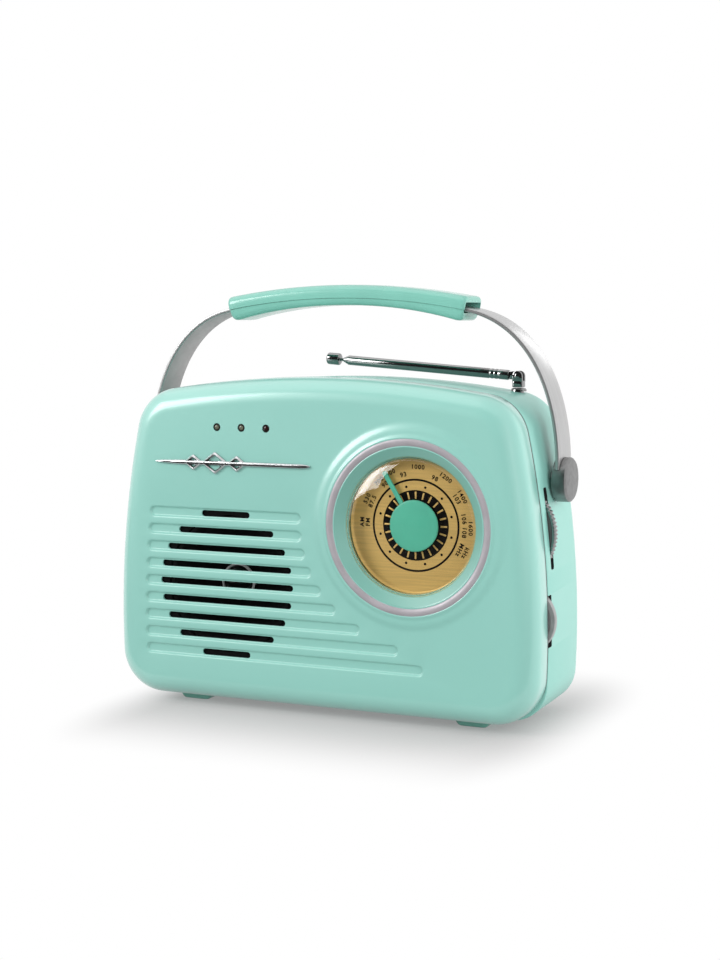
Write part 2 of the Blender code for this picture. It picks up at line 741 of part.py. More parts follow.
def wheel_chord(radius, proud):
    """Half the length of a side wheel where it passes the inside of the wall."""
    return math.sqrt(radius ** 2 - (radius - proud - WALL) ** 2)


def rear_shell():
    mesh = shell_mesh("rear_shell", REAR_START, CASE_DEPTH, REAR_DRAFT, BACK_FILLET, REAR_LOW_CORNER)
    shell = add("rear_shell", mesh, UPRIGHT, "mint")
    thicken(shell)
    wall_end = CASE_DEPTH - WALL + 2 * GAP
    for name, (x, z) in boss_places().items():
        round_post(shell, "post_" + name, POST_RADIUS, x, z, POST_START, wall_end)
        round_hole(shell, "well_" + name, SCREW_HEAD_RADIUS + 2 * GAP, x, z,
                   POST_START + SCREW_SEAT, CASE_DEPTH + WALL, 12)
        round_hole(shell, "shank_" + name, SCREW_RADIUS + GAP, x, z,
                   POST_START - WALL, POST_START + SCREW_SEAT + WALL, 10)
    board_back = BOARD_DEPTH + BOARD_THICKNESS + GAP
    for i, (x, z) in enumerate(board_post_places()):
        round_post(shell, f"board_post_{i}", BOARD_POST_RADIUS, x, z, board_back, wall_end)
    slot_depth = TUNING_WHEEL_DEPTH + TUNING_WHEEL_THICKNESS / 2
    side = half_width(TUNING_Z, slot_depth)
    proud = TUNING_X + TUNING_WHEEL_RADIUS - side
    slot_half = wheel_chord(TUNING_WHEEL_RADIUS, proud) + WHEEL_SLOT_MARGIN
    slot_rise = TUNING_WHEEL_RADIUS * (TUNING_Z - SIDE_WIDEST_HEIGHT) / SIDE_RADIUS
    slot_size = (12 * WALL, TUNING_WHEEL_THICKNESS + 2 * WHEEL_CLEAR, 2 * slot_half)
    box_cut(shell, "tuning_slot", slot_size, side, slot_depth, TUNING_Z + slot_rise)
    notch_end = VOLUME_DEPTH + VOLUME_THICKNESS + WHEEL_CLEAR
    notch_half = wheel_chord(VOLUME_RADIUS, VOLUME_PROUD) + WHEEL_CLEAR
    notch_size = (12 * WALL, 2 * (notch_end - REAR_START), 2 * notch_half)
    volume_side = half_width(VOLUME_Z, REAR_START)
    box_cut(shell, "volume_notch", notch_size, volume_side, REAR_START, VOLUME_Z)
    pin_hole = rod_mesh("pin_holes", PIN_RADIUS + GAP, 4 * CASE_HALF_WIDTH, 20)
    cut(shell, cutter("pin_holes", pin_hole, at(0.0, PIVOT_DEPTH, PIVOT_Z, FACING_RIGHT)))
    base_hole = rod_mesh("base_hole", BASE_SHANK_RADIUS + GAP, 2 * BACK_FILLET, 16)
    top = top_height(ANTENNA_X, ANTENNA_DEPTH)
    cut(shell, cutter("base_hole", base_hole, at(ANTENNA_X, ANTENNA_DEPTH, top)))
    back_opening(shell, "door_opening", TRAY_HALF_LENGTH, TRAY_HALF_HEIGHT, 0.0, CELL_ROW_Z)
    for name, (width, height), z in (("inlet", INLET_SIZE, INLET_Z), ("usb", USB_SIZE, USB_Z)):
        back_opening(shell, name + "_opening", width / 2 + GAP, height / 2 + GAP, REAR_X, z)
    back_opening(shell, "slider_opening", SLIDER_SIZE[0] / 2 + SLIDER_TRAVEL + GAP,
                 SLIDER_SIZE[1] / 2 + GAP, REAR_X, SLIDER_Z)
    back = CASE_DEPTH + WALL
    front = CASE_DEPTH - 3 * WALL
    round_hole(shell, "aux_opening", AUX_RADIUS + GAP, REAR_X, AUX_Z, front, back, 16)
    round_hole(shell, "button_opening", BUTTON_RADIUS + GAP, REAR_X, BUTTON_Z, front, back, 20)
    return shell


def seam_trim():
    outlines = [case_outline(), case_outline(TRIM_LIP)]
    mesh = plate_mesh("seam_trim", outlines, TRIM_THICKNESS)
    middle = TRIM_DEPTH + TRIM_THICKNESS / 2
    return add("seam_trim", mesh, at(0.0, middle, 0.0, FACING_FRONT), "silver")


def feet():
    front = FOOT_FRONT_DEPTH + FOOT_LENGTH / 2
    back = CASE_DEPTH - FOOT_BACK_MARGIN
    for end, depth in (("front", front), ("rear", back)):
        top = FOOT_HEIGHT + rear_inset(depth - FOOT_LENGTH / 2) - GAP
        outline = [(-FOOT_BOTTOM / 2, 0.0), (FOOT_BOTTOM / 2, 0.0),
                   (FOOT_TOP / 2, top), (-FOOT_TOP / 2, top)]
        for side, x in (("left", -FOOT_OFFSET), ("right", FOOT_OFFSET)):
            name = f"foot_{end}_{side}"
            mesh = plate_mesh(name, [outline], FOOT_LENGTH)
            add(name, mesh, at(x, depth, 0.0, FACING_FRONT), "deep_mint")


def turned_part(name, profile, x, z, finish, sides=32):
    """A turned piece with its axis front to back, from (radius, depth) points."""
    mesh = turned_mesh(name, at_depths(profile), sides)
    return add(name, mesh, at(x, 0.0, z, FACING_FRONT), finish)


def bezel_ring():
    back = RING_THICKNESS - RING_PROUD
    middle = (RING_OUTER + RING_INNER) / 2
    edge = back - 0.5 * RING_THICKNESS
    profile = [(middle, -RING_PROUD), (RING_OUTER, edge), (RING_OUTER, back),
               (RING_INNER, back), (RING_INNER, edge)]
    turned_part("bezel_ring", profile, DIAL_X, DIAL_Z, "silver", 40)


def dome(radius, base, rise, steps):
    """Points down a dome, as (radius, depth), from its apex to its rim."""
    points = []
    for i in range(steps + 1):
        angle = math.pi / 2 * i / steps
        points.append((radius * math.sin(angle), base - rise * math.cos(angle)))
    return points


def dial_lens():
    flange_top = BOWL_DEPTH + BOWL_LIP + GAP
    flange_back = flange_top + LENS_SHEET
    outside = dome(LENS_RADIUS, flange_top, flange_top + LENS_PROUD, 6)
    inside = dome(LENS_RADIUS - LENS_SHEET, flange_back, flange_back + LENS_PROUD - LENS_SHEET, 6)
    flange_radius = LENS_RADIUS + LENS_FLANGE
    rim = [(flange_radius, flange_top), (flange_radius, flange_back)]
    turned_part("dial_lens", outside + rim + inside[::-1], DIAL_X, DIAL_Z, "clear", 28)


def dial_plate():
    back = PLATE_DEPTH + PLATE_THICKNESS
    radius = LENS_RADIUS + LENS_FLANGE + GAP + WALL
    hole = DIAL_SHAFT_RADIUS + GAP
    profile = [(radius, PLATE_DEPTH), (radius, back), (hole, back), (hole, PLATE_DEPTH)]
    turned_part("dial_plate", profile, DIAL_X, DIAL_Z, "gold")


def pointer_outline():
    """A hub disc with one needle, turned to where the pointer rests."""
    half = NEEDLE_WIDTH / 2
    opening = math.asin(half / HUB_RADIUS)
    up = math.pi / 2
    points = arc((0.0, 0.0), HUB_RADIUS, up + opening, up + 2 * math.pi - opening, 28)
    points += arc((0.0, NEEDLE_TIP - half), half, 0.0, math.pi, 4)
    turn = Matrix.Rotation(NEEDLE_REST, 2)
    return [tuple(turn @ Vector(point)) for point in points]


def gear_outline(teeth, phase):
    """Straight-flanked teeth with running clearance, one tooth at the phase angle."""
    pitch_radius = GEAR_MODULE * teeth / 2
    tip = pitch_radius + TOOTH_RISE * GEAR_MODULE
    root = pitch_radius - TOOTH_FALL * GEAR_MODULE
    step = 2 * math.pi / teeth
    tip_half = TOOTH_TIP_HALF * GEAR_MODULE / tip
    root_half = TOOTH_ROOT_HALF * GEAR_MODULE / root
    points = []
    for i in range(teeth):
        middle = phase + i * step
        corners = ((root, -root_half), (tip, -tip_half), (tip, tip_half), (root, root_half))
        for radius, angle in corners:
            points.append((radius * math.cos(middle + angle), radius * math.sin(middle + angle)))
    return points


def dial_drive():
    pointer_mesh = plate_mesh("dial_pointer", [pointer_outline()], HUB_THICKNESS)
    pointer = add("dial_pointer", pointer_mesh,
                  at(DIAL_X, HUB_DEPTH + HUB_THICKNESS / 2, DIAL_Z, FACING_FRONT), "deep_mint")
    bore = circle((0.0, 0.0), DIAL_SHAFT_RADIUS + GAP, 12)
    teeth = gear_outline(GEAR_TEETH, MESH_ANGLE)
    gear_mesh = plate_mesh("dial_gear", [teeth, bore], GEAR_THICKNESS)
    gear = add("dial_gear", gear_mesh,
               at(DIAL_X, GEAR_DEPTH + GEAR_THICKNESS / 2, DIAL_Z, FACING_FRONT), "white")
    front = HUB_DEPTH + HUB_THICKNESS + GAP
    collar = BRACKET_DEPTH + BRACKET_THICKNESS + GAP
    end = collar + DIAL_SHAFT_RADIUS
    collar_radius = 2 * DIAL_SHAFT_RADIUS
    profile = [(0.0, front), (DIAL_SHAFT_RADIUS, front), (DIAL_SHAFT_RADIUS, collar),
               (collar_radius, collar), (collar_radius, end), (0.0, end)]
    shaft = turned_part("dial_shaft", profile, DIAL_X, DIAL_Z, "steel", 12)
    axis_empty("dial_axis", (DIAL_X, FACE_Y, DIAL_Z), [pointer, gear, shaft])


def gear_bracket():
    half_x = BRACKET_REACH + BRACKET_MARGIN
    half_z = BRACKET_HALF_HEIGHT + BRACKET_MARGIN
    outlines = [rectangle(half_x, half_z, (DIAL_X, DIAL_Z)),
                circle((DIAL_X, DIAL_Z), DIAL_SHAFT_RADIUS + GAP, 12),
                circle((TUNING_X, TUNING_Z), TUNING_SHAFT_RADIUS + GAP, 16)]
    mesh = plate_mesh("gear_bracket", outlines, BRACKET_THICKNESS)
    middle = BRACKET_DEPTH + BRACKET_THICKNESS / 2
    add("gear_bracket", mesh, at(0.0, middle, 0.0, FACING_FRONT), "white")


def tuning_drive():
    half = TUNER_SIDE / 2
    outlines = [rectangle(half, half), circle((0.0, 0.0), TUNING_SHAFT_RADIUS + GAP, 16)]
    body = plate_mesh("tuning_pot", outlines, TUNER_THICKNESS)
    add("tuning_pot", body,
        at(TUNING_X, TUNER_DEPTH + TUNER_THICKNESS / 2, TUNING_Z, FACING_FRONT), "white")

    teeth = gear_outline(PINION_TEETH, MESH_ANGLE + math.pi + math.pi / PINION_TEETH)
    pinion_mesh = plate_mesh("tuning_pinion", [teeth], GEAR_THICKNESS)
    pinion = add("tuning_pinion", pinion_mesh,
                 at(TUNING_X, GEAR_DEPTH + GEAR_THICKNESS / 2, TUNING_Z, FACING_FRONT), "white")
    shaft_start = GEAR_DEPTH + GEAR_THICKNESS / 2
    shaft_end = TUNING_WHEEL_DEPTH + TUNING_WHEEL_THICKNESS
    round_post(pinion, "tuning_shaft", TUNING_SHAFT_RADIUS, TUNING_X, TUNING_Z,
               shaft_start, shaft_end, 16)

    rim = []
    step = 2 * math.pi / KNURL_COUNT
    valley = TUNING_WHEEL_RADIUS - KNURL_DEPTH
    for i in range(KNURL_COUNT):
        rim += arc((0.0, 0.0), TUNING_WHEEL_RADIUS, (i - 0.2) * step, (i + 0.2) * step, 1)
        rim.append((valley * math.cos((i + 0.5) * step), valley * math.sin((i + 0.5) * step)))
    bore = circle((0.0, 0.0), TUNING_SHAFT_RADIUS + GAP, 16)
    wheel_mesh = plate_mesh("tuning_wheel", [rim, bore], TUNING_WHEEL_THICKNESS)
    wheel_middle = TUNING_WHEEL_DEPTH + TUNING_WHEEL_THICKNESS / 2
    wheel = add("tuning_wheel", wheel_mesh,
                at(TUNING_X, wheel_middle, TUNING_Z, FACING_FRONT), "silver")
    axis_empty("tuning_axis", (TUNING_X, FACE_Y, TUNING_Z), [wheel, pinion])


def volume_drive():
    volume_x = half_width(VOLUME_Z, REAR_START) + VOLUME_PROUD - VOLUME_RADIUS
    back = VOLUME_DEPTH + VOLUME_THICKNESS
    shaft_end = POT_DEPTH + POT_THICKNESS - WHEEL_CLEAR
    face = VOLUME_RADIUS - SOFT_EDGE
    profile = [(0.0, VOLUME_DEPTH), (face, VOLUME_DEPTH), (VOLUME_RADIUS, VOLUME_DEPTH + SOFT_EDGE),
               (VOLUME_RADIUS, back - SOFT_EDGE), (face, back), (VOLUME_SHAFT_RADIUS, back),
               (VOLUME_SHAFT_RADIUS, shaft_end), (0.0, shaft_end)]
    wheel = turned_part("volume_wheel", profile, volume_x, VOLUME_Z, "silver", 28)
    axis_empty("volume_axis", (volume_x, FACE_Y, VOLUME_Z), [wheel])
    pot_end = POT_DEPTH + POT_THICKNESS
    bore = VOLUME_SHAFT_RADIUS + GAP
    pot = [(POT_RADIUS, POT_DEPTH), (POT_RADIUS, pot_end), (bore, pot_end), (bore, POT_DEPTH)]
    turned_part("volume_pot", pot, volume_x, VOLUME_Z, "steel", 20)


def lamps():
    body = LAMP_HOLE_RADIUS - GAP
    flange = LAMP_HOLE_RADIUS + LAMP_FLANGE
    seat = WALL + GAP
    seat_back = seat + WALL / 2
    profile = [(0.0, -LAMP_PROUD), (0.65 * body, 0.0), (body, 0.4 * WALL), (body, seat),
               (flange, seat), (flange, seat_back), (body, seat_back), (body, LAMP_LENGTH),
               (0.0, LAMP_LENGTH)]
    for name, x in zip(LAMP_NAMES, LAMP_X):
        turned_part(name, profile, x, LAMP_Z, "lamp", 12)


def front_ornament():
    """A slim bar with three open lozenges across it."""
    half_bar = ORNAMENT_BAR / 2
    middle = (ORNAMENT_LEFT + ORNAMENT_RIGHT) / 2
    half_length = (ORNAMENT_RIGHT - ORNAMENT_LEFT) / 2
    depth = -GAP - ORNAMENT_THICKNESS / 2
    bar_mesh = plate_mesh("front_ornament", [rectangle(half_length, half_bar)], ORNAMENT_THICKNESS)
    bar = add("front_ornament", bar_mesh, at(middle, depth, ORNAMENT_Z, FACING_FRONT), "chrome")
    for i, size in enumerate((LOZENGE_SIDE_SIZE, 1.0, LOZENGE_SIDE_SIZE)):
        x = LOZENGE_X + (i - 1) * LOZENGE_PITCH
        across = size * LOZENGE_HALF_WIDTH
        up = size * LOZENGE_HALF_HEIGHT
        outer = [(across, 0.0), (0.0, up), (-across, 0.0), (0.0, -up)]
        ratio = 1 - LOZENGE_RIM / up
        inner = [(a * ratio, b * ratio) for a, b in outer]
        rim = plate_mesh("lozenge", [outer, inner], ORNAMENT_THICKNESS * 0.98)
        join(bar, cutter(f"lozenge_{i}", rim, at(x, depth, ORNAMENT_Z, FACING_FRONT)))


def speaker():
    start = WALL + GAP
    flange_back = start + SPEAKER_FLANGE
    back = start + SPEAKER_DEPTH
    basket = SPEAKER_RADIUS - SPEAKER_RIM
    neck = MAGNET_RADIUS - CONE_SHEET
    hole = POLE_RADIUS + GAP
    floor = back - SPEAKER_FLANGE
    mouth = basket - BASKET_SHEET
    frame = [(SPEAKER_RADIUS, start), (SPEAKER_RADIUS, flange_back), (basket, flange_back),
             (neck, floor), (neck, back), (hole, back), (hole, floor), (neck - BASKET_SHEET, floor),
             (mouth, flange_back), (mouth, start)]
    turned_part("speaker_frame", frame, SPEAKER_X, SPEAKER_Z, "steel", 24)
    edge = mouth - 3 * GAP
    cone_start = start + 2 * GAP
    cone_back = start + 0.5 * SPEAKER_DEPTH
    inner = CAP_RADIUS - CONE_SHEET
    cone = [(edge, cone_start), (edge, cone_start + CONE_SHEET),
            (inner, cone_back + CONE_SHEET), (inner, cone_back)]
    turned_part("speaker_cone", cone, SPEAKER_X, SPEAKER_Z, "black", 24)
    slope = (cone_back - cone_start) / (edge - inner)
    rim_depth = cone_back - slope * (CAP_RADIUS - inner) - 2 * GAP
    rise = 0.42 * CAP_RADIUS
    outside = dome(CAP_RADIUS, rim_depth - CONE_SHEET / 2, rise, 4)
    inside = dome(CAP_RADIUS - CONE_SHEET, rim_depth, rise - CONE_SHEET / 2, 4)
    turned_part("speaker_dust_cap", outside + [(CAP_RADIUS, rim_depth)] + inside[::-1],
                SPEAKER_X, SPEAKER_Z, "black", 18)
    magnet_front = back + GAP
    magnet_back = magnet_front + MAGNET_THICKNESS
    pole = back - 0.25 * SPEAKER_DEPTH
    magnet = [(0.0, pole), (POLE_RADIUS, pole), (POLE_RADIUS, magnet_front),
              (MAGNET_RADIUS, magnet_front), (MAGNET_RADIUS, magnet_back), (0.0, magnet_back)]
    turned_part("speaker_magnet", magnet, SPEAKER_X, SPEAKER_Z, "steel", 20)


def board_post_places():
    left = BOARD_LEFT + BOARD_POST_INSET
    right = BOARD_RIGHT - 2 * BOARD_POST_INSET
    low = BOARD_BOTTOM + BOARD_POST_INSET
    high = BOARD_TOP - BOARD_POST_INSET
    return [(left, low), (left, high), (right, high)]


def circuit_board():
    middle_x = (BOARD_LEFT + BOARD_RIGHT) / 2
    middle_z = (BOARD_BOTTOM + BOARD_TOP) / 2
    size = (BOARD_RIGHT - BOARD_LEFT, BOARD_THICKNESS, BOARD_TOP - BOARD_BOTTOM)
    board_middle = BOARD_DEPTH + BOARD_THICKNESS / 2
    board = box_mesh("circuit_board", size)
    add("circuit_board", board, at(middle_x, board_middle, middle_z), "board")
    coil_inner = ROD_RADIUS + GAP
    coil_outer = coil_inner + COIL_THICKNESS
    rod_depth = BOARD_DEPTH + BOARD_THICKNESS + GAP + coil_outer
    place = at(middle_x, rod_depth, middle_z, FACING_RIGHT)
    add("ferrite_rod", rod_mesh("ferrite_rod", ROD_RADIUS, ROD_LENGTH, 16), place, "black")
    half = COIL_LENGTH / 2
    profile = [(coil_outer, half), (coil_outer, -half), (coil_inner, -half), (coil_inner, half)]
    add("ferrite_coil", turned_mesh("ferrite_coil", profile, 16), place, "copper")


def batteries():
    tray_front = CELL_DEPTH - CELL_RADIUS - GAP - TRAY_WALL
    tray_back = CASE_DEPTH - WALL - GAP
    length = tray_back - tray_front
    outer = (2 * (TRAY_HALF_LENGTH + TRAY_WALL), length, 2 * (TRAY_HALF_HEIGHT + TRAY_WALL))
    tray = add("battery_tray", box_mesh("battery_tray", outer),
               at(0.0, tray_front + length / 2, CELL_ROW_Z), "black")
    hollow = (2 * TRAY_HALF_LENGTH, length, 2 * TRAY_HALF_HEIGHT)
    box_cut(tray, "tray_hollow", hollow, 0.0, tray_front + TRAY_WALL + length / 2, CELL_ROW_Z)
    for row, up in (("upper", 0.5), ("lower", -0.5)):
        for end, side in (("left", -1), ("right", 1)):
            x = side * (CELL_LENGTH / 2 + GAP / 2)
            name = f"battery_{row}_{end}"
            place = at(x, CELL_DEPTH, CELL_ROW_Z + up * CELL_PITCH, FACING_RIGHT)
            add(name, rod_mesh(name, CELL_RADIUS, CELL_LENGTH, 20), place, "cell")
    contact = (CONTACT_THICKNESS, 1.6 * CELL_RADIUS, 2 * TRAY_HALF_HEIGHT - 4 * GAP)
    for end, side in (("left", -1), ("right", 1)):
        name = "battery_contact_" + end
        x = side * (TRAY_HALF_LENGTH - GAP - CONTACT_THICKNESS / 2)
        add(name, box_mesh(name, contact), at(x, CELL_DEPTH, CELL_ROW_Z), "brass")
    door_size = (2 * (TRAY_HALF_LENGTH - GAP), DOOR_THICKNESS, 2 * (TRAY_HALF_HEIGHT - GAP))
    door = add("battery_door", box_mesh("battery_door", door_size),
               at(0.0, DOOR_DEPTH + DOOR_THICKNESS / 2, CELL_ROW_Z), "mint")
    hinge_z = CELL_ROW_Z - TRAY_HALF_HEIGHT + GAP
    axis_empty("door_axis", (0.0, FACE_Y + CASE_DEPTH, hinge_z), [door])


def recessed_socket(name, size, recess, length, z, finish):
    """A square socket in the rear wall, open to the back."""
    middle = CASE_DEPTH - length / 2 - GAP
    socket = add(name, box_mesh(name, (size[0], length, size[1])), at(REAR_X, middle, z), finish)
    box_cut(socket, name + "_recess", (recess[0], length, recess[1]), REAR_X, middle + 0.4 * length, z)


def rear_fittings():
    recessed_socket("mains_inlet", INLET_SIZE, INLET_RECESS, INLET_LENGTH, INLET_Z, "black")
    recessed_socket("usb_socket", USB_SIZE, USB_RECESS, USB_LENGTH, USB_Z, "steel")
    back = CASE_DEPTH - GAP
    start = back - AUX_LENGTH
    floor = start + TRAY_WALL
    aux = [(0.0, floor), (AUX_BORE, floor), (AUX_BORE, back), (AUX_RADIUS, back),
           (AUX_RADIUS, start), (0.0, start)]
    turned_part("aux_socket", aux[::-1], REAR_X, AUX_Z, "black", 20)
    slider_size = (SLIDER_SIZE[0], SLIDER_LENGTH, SLIDER_SIZE[1])
    slider = add("band_slider", box_mesh("band_slider", slider_size),
                 at(REAR_X, back - SLIDER_LENGTH / 2, SLIDER_Z), "black")
    axis_empty("slider_axis", (REAR_X, FACE_Y + back, SLIDER_Z), [slider])
    front = back - BUTTON_LENGTH
    button = [(0.0, front), (BUTTON_RADIUS, front), (BUTTON_RADIUS, back - SOFT_EDGE),
              (BUTTON_RADIUS - SOFT_EDGE, back), (0.0, back)]
    key = turned_part("source_button", button, REAR_X, BUTTON_Z, "silver", 24)
    axis_empty("button_axis", (REAR_X, FACE_Y + back, BUTTON_Z), [key])


def case_screws():
    head = POST_START + SCREW_SEAT + GAP
    head_back = head + SCREW_HEAD_THICKNESS
    end = BOSS_END - SCREW_REACH
    profile = [(0.0, end), (SCREW_RADIUS, end), (SCREW_RADIUS, head), (SCREW_HEAD_RADIUS, head),
               (SCREW_HEAD_RADIUS, head_back), (0.0, head_back)]
    for name, (x, z) in boss_places().items():
        turned_part("case_screw_" + name, profile, x, z, "steel", 10)


def drum_inner_face():
    lowest = PIVOT_Z - DRUM_RADIUS
    return half_width(lowest, PIVOT_DEPTH - DRUM_RADIUS) + DRUM_SIDE_CLEAR


def strap_outline(grow=0.0):
    """The handle band from the front: up from one drum, through the grip and down to the other."""
    half = STRAP_THICKNESS / 2
    foot_x = drum_inner_face() + DRUM_THICKNESS - STRAP_FROM_DRUM_FACE - half
    foot_z = PIVOT_Z + STRAP_END_ABOVE_PIN
    end_angle = math.asin(GRIP_HALF_LENGTH / STRAP_RADIUS)
    shoulder = Vector((GRIP_HALF_LENGTH, GRIP_CENTRE_Z + STRAP_RADIUS * math.cos(end_angle)))
    lean = Vector((math.cos(end_angle), -math.sin(end_angle)))
    foot = Vector((foot_x, foot_z))
    first = shoulder + lean * STRAP_BEND
    second = foot + Vector((0.0, STRAP_SHOULDER))
    middle = []
    for i in range(6):
        angle = end_angle * i / 6
        up = GRIP_CENTRE_Z + STRAP_RADIUS * math.cos(angle)
        middle.append(Vector((STRAP_RADIUS * math.sin(angle), up)))
    steps = 12
    for i in range(steps + 1):
        t = i / steps
        middle.append(shoulder * (1 - t) ** 3 + first * 3 * t * (1 - t) ** 2
                      + second * 3 * t * t * (1 - t) + foot * t ** 3)
    outer = []
    inner = []
    for i, point in enumerate(middle):
        before = middle[max(0, i - 1)]
        after = middle[min(len(middle) - 1, i + 1)]
        along = (after - before).normalized()
        if i == 0:
            along = Vector((1.0, 0.0))
        across = Vector((-along.y, along.x)) * (half + grow)
        outer.append(point + across)
        inner.append(point - across)
    right = [tuple(p) for p in outer] + [tuple(p) for p in reversed(inner)]
    left_inner = [(-p.x, p.y) for p in inner[1:]]
    left_outer = [(-p.x, p.y) for p in reversed(outer[1:])]
    return right + left_inner + left_outer


def grip_half(name, outer_radius, inner_radius, round_outer, finish):
    """One half of the grip: a curved bar with its long outer edges rounded."""
    reach = GRIP_HALF_LENGTH / STRAP_RADIUS
    up = math.pi / 2
    centre = (0.0, GRIP_CENTRE_Z)
    outline = (arc(centre, outer_radius, up - reach, up + reach, 12)
               + arc(centre, inner_radius, up + reach, up - reach, 12))
    mesh = plate_mesh(name, [outline], GRIP_WIDTH)
    item = add(name, mesh, at(0.0, PIVOT_DEPTH, 0.0, FACING_FRONT), finish)
    work = bmesh.new()
    work.from_mesh(item.data)
    bmesh.ops.dissolve_limit(work, angle_limit=math.radians(0.5), verts=work.verts, edges=work.edges)
    long_edges = []
    for edge in work.edges:
        ends = [math.hypot(v.co.x, v.co.y - GRIP_CENTRE_Z) for v in edge.verts]
        rounded = all(abs(r - round_outer) < 10 * MERGE for r in ends)
        level = abs(edge.verts[0].co.z - edge.verts[1].co.z) < 10 * MERGE
        if rounded and level:
            long_edges.append(edge)
    bmesh.ops.bevel(work, geom=long_edges, offset=GRIP_ROUND, segments=3, profile=0.5,
                    affect="EDGES")
    work.to_mesh(item.data)
    work.free()
    return item


def handle():
    strap = add("handle_strap", plate_mesh("handle_strap", [strap_outline()], STRAP_WIDTH),
                at(0.0, PIVOT_DEPTH, 0.0, FACING_FRONT), "aluminium")
    upper = grip_half("grip_upper", GRIP_RADIUS, STRAP_RADIUS + GAP / 2, GRIP_RADIUS, "deep_mint")
    lower_radius = GRIP_RADIUS - GRIP_THICKNESS
    lower = grip_half("grip_lower", STRAP_RADIUS - GAP / 2, lower_radius, lower_radius, "deep_mint")
    channel_mesh = plate_mesh("strap_channel", [strap_outline(GAP)], STRAP_WIDTH + 2 * GAP)
    channel = cutter("strap_channel", channel_mesh, at(0.0, PIVOT_DEPTH, 0.0, FACING_FRONT))
    cut(upper, channel)
    cut(lower, channel)
    inner = drum_inner_face()
    pieces = [strap, upper, lower]
    bore = PIN_RADIUS + GAP
    bore_end = PIN_INTO_DRUM + GAP
    profile = [(0.0, DRUM_THICKNESS), (DRUM_RADIUS - SOFT_EDGE, DRUM_THICKNESS),
               (DRUM_RADIUS, DRUM_THICKNESS - SOFT_EDGE), (DRUM_RADIUS, 0.0),
               (bore, 0.0), (bore, bore_end), (0.0, bore_end)]
    for side, facing, sign in (("right", FACING_RIGHT, 1), ("left", FACING_LEFT, -1)):
        name = "handle_drum_" + side
        place = at(sign * inner, PIVOT_DEPTH, PIVOT_Z, facing)
        drum = add(name, turned_mesh(name, profile, 32), place, "aluminium")
        cut(drum, channel)
        pieces.append(drum)
    axis_empty("handle_axis", (0.0, FACE_Y + PIVOT_DEPTH, PIVOT_Z), pieces)
    pivot_pins(inner)


def pivot_pins(drum_face):
    wall_face = half_width(PIVOT_Z + PIN_HEAD_RADIUS, PIVOT_DEPTH + PIN_HEAD_RADIUS) - WALL
    head_outer = wall_face - 2 * GAP
    head_inner = head_outer - PIN_HEAD_THICKNESS
    end = drum_face + PIN_INTO_DRUM
    profile = [(0.0, end), (PIN_RADIUS, end), (PIN_RADIUS, head_outer),
               (PIN_HEAD_RADIUS, head_outer), (PIN_HEAD_RADIUS, head_inner), (0.0, head_inner)]
    for side, facing in (("right", FACING_RIGHT), ("left", FACING_LEFT)):
        name = "pivot_pin_" + side
        add(name, turned_mesh(name, profile, 20), at(0.0, PIVOT_DEPTH, PIVOT_Z, facing), "steel")


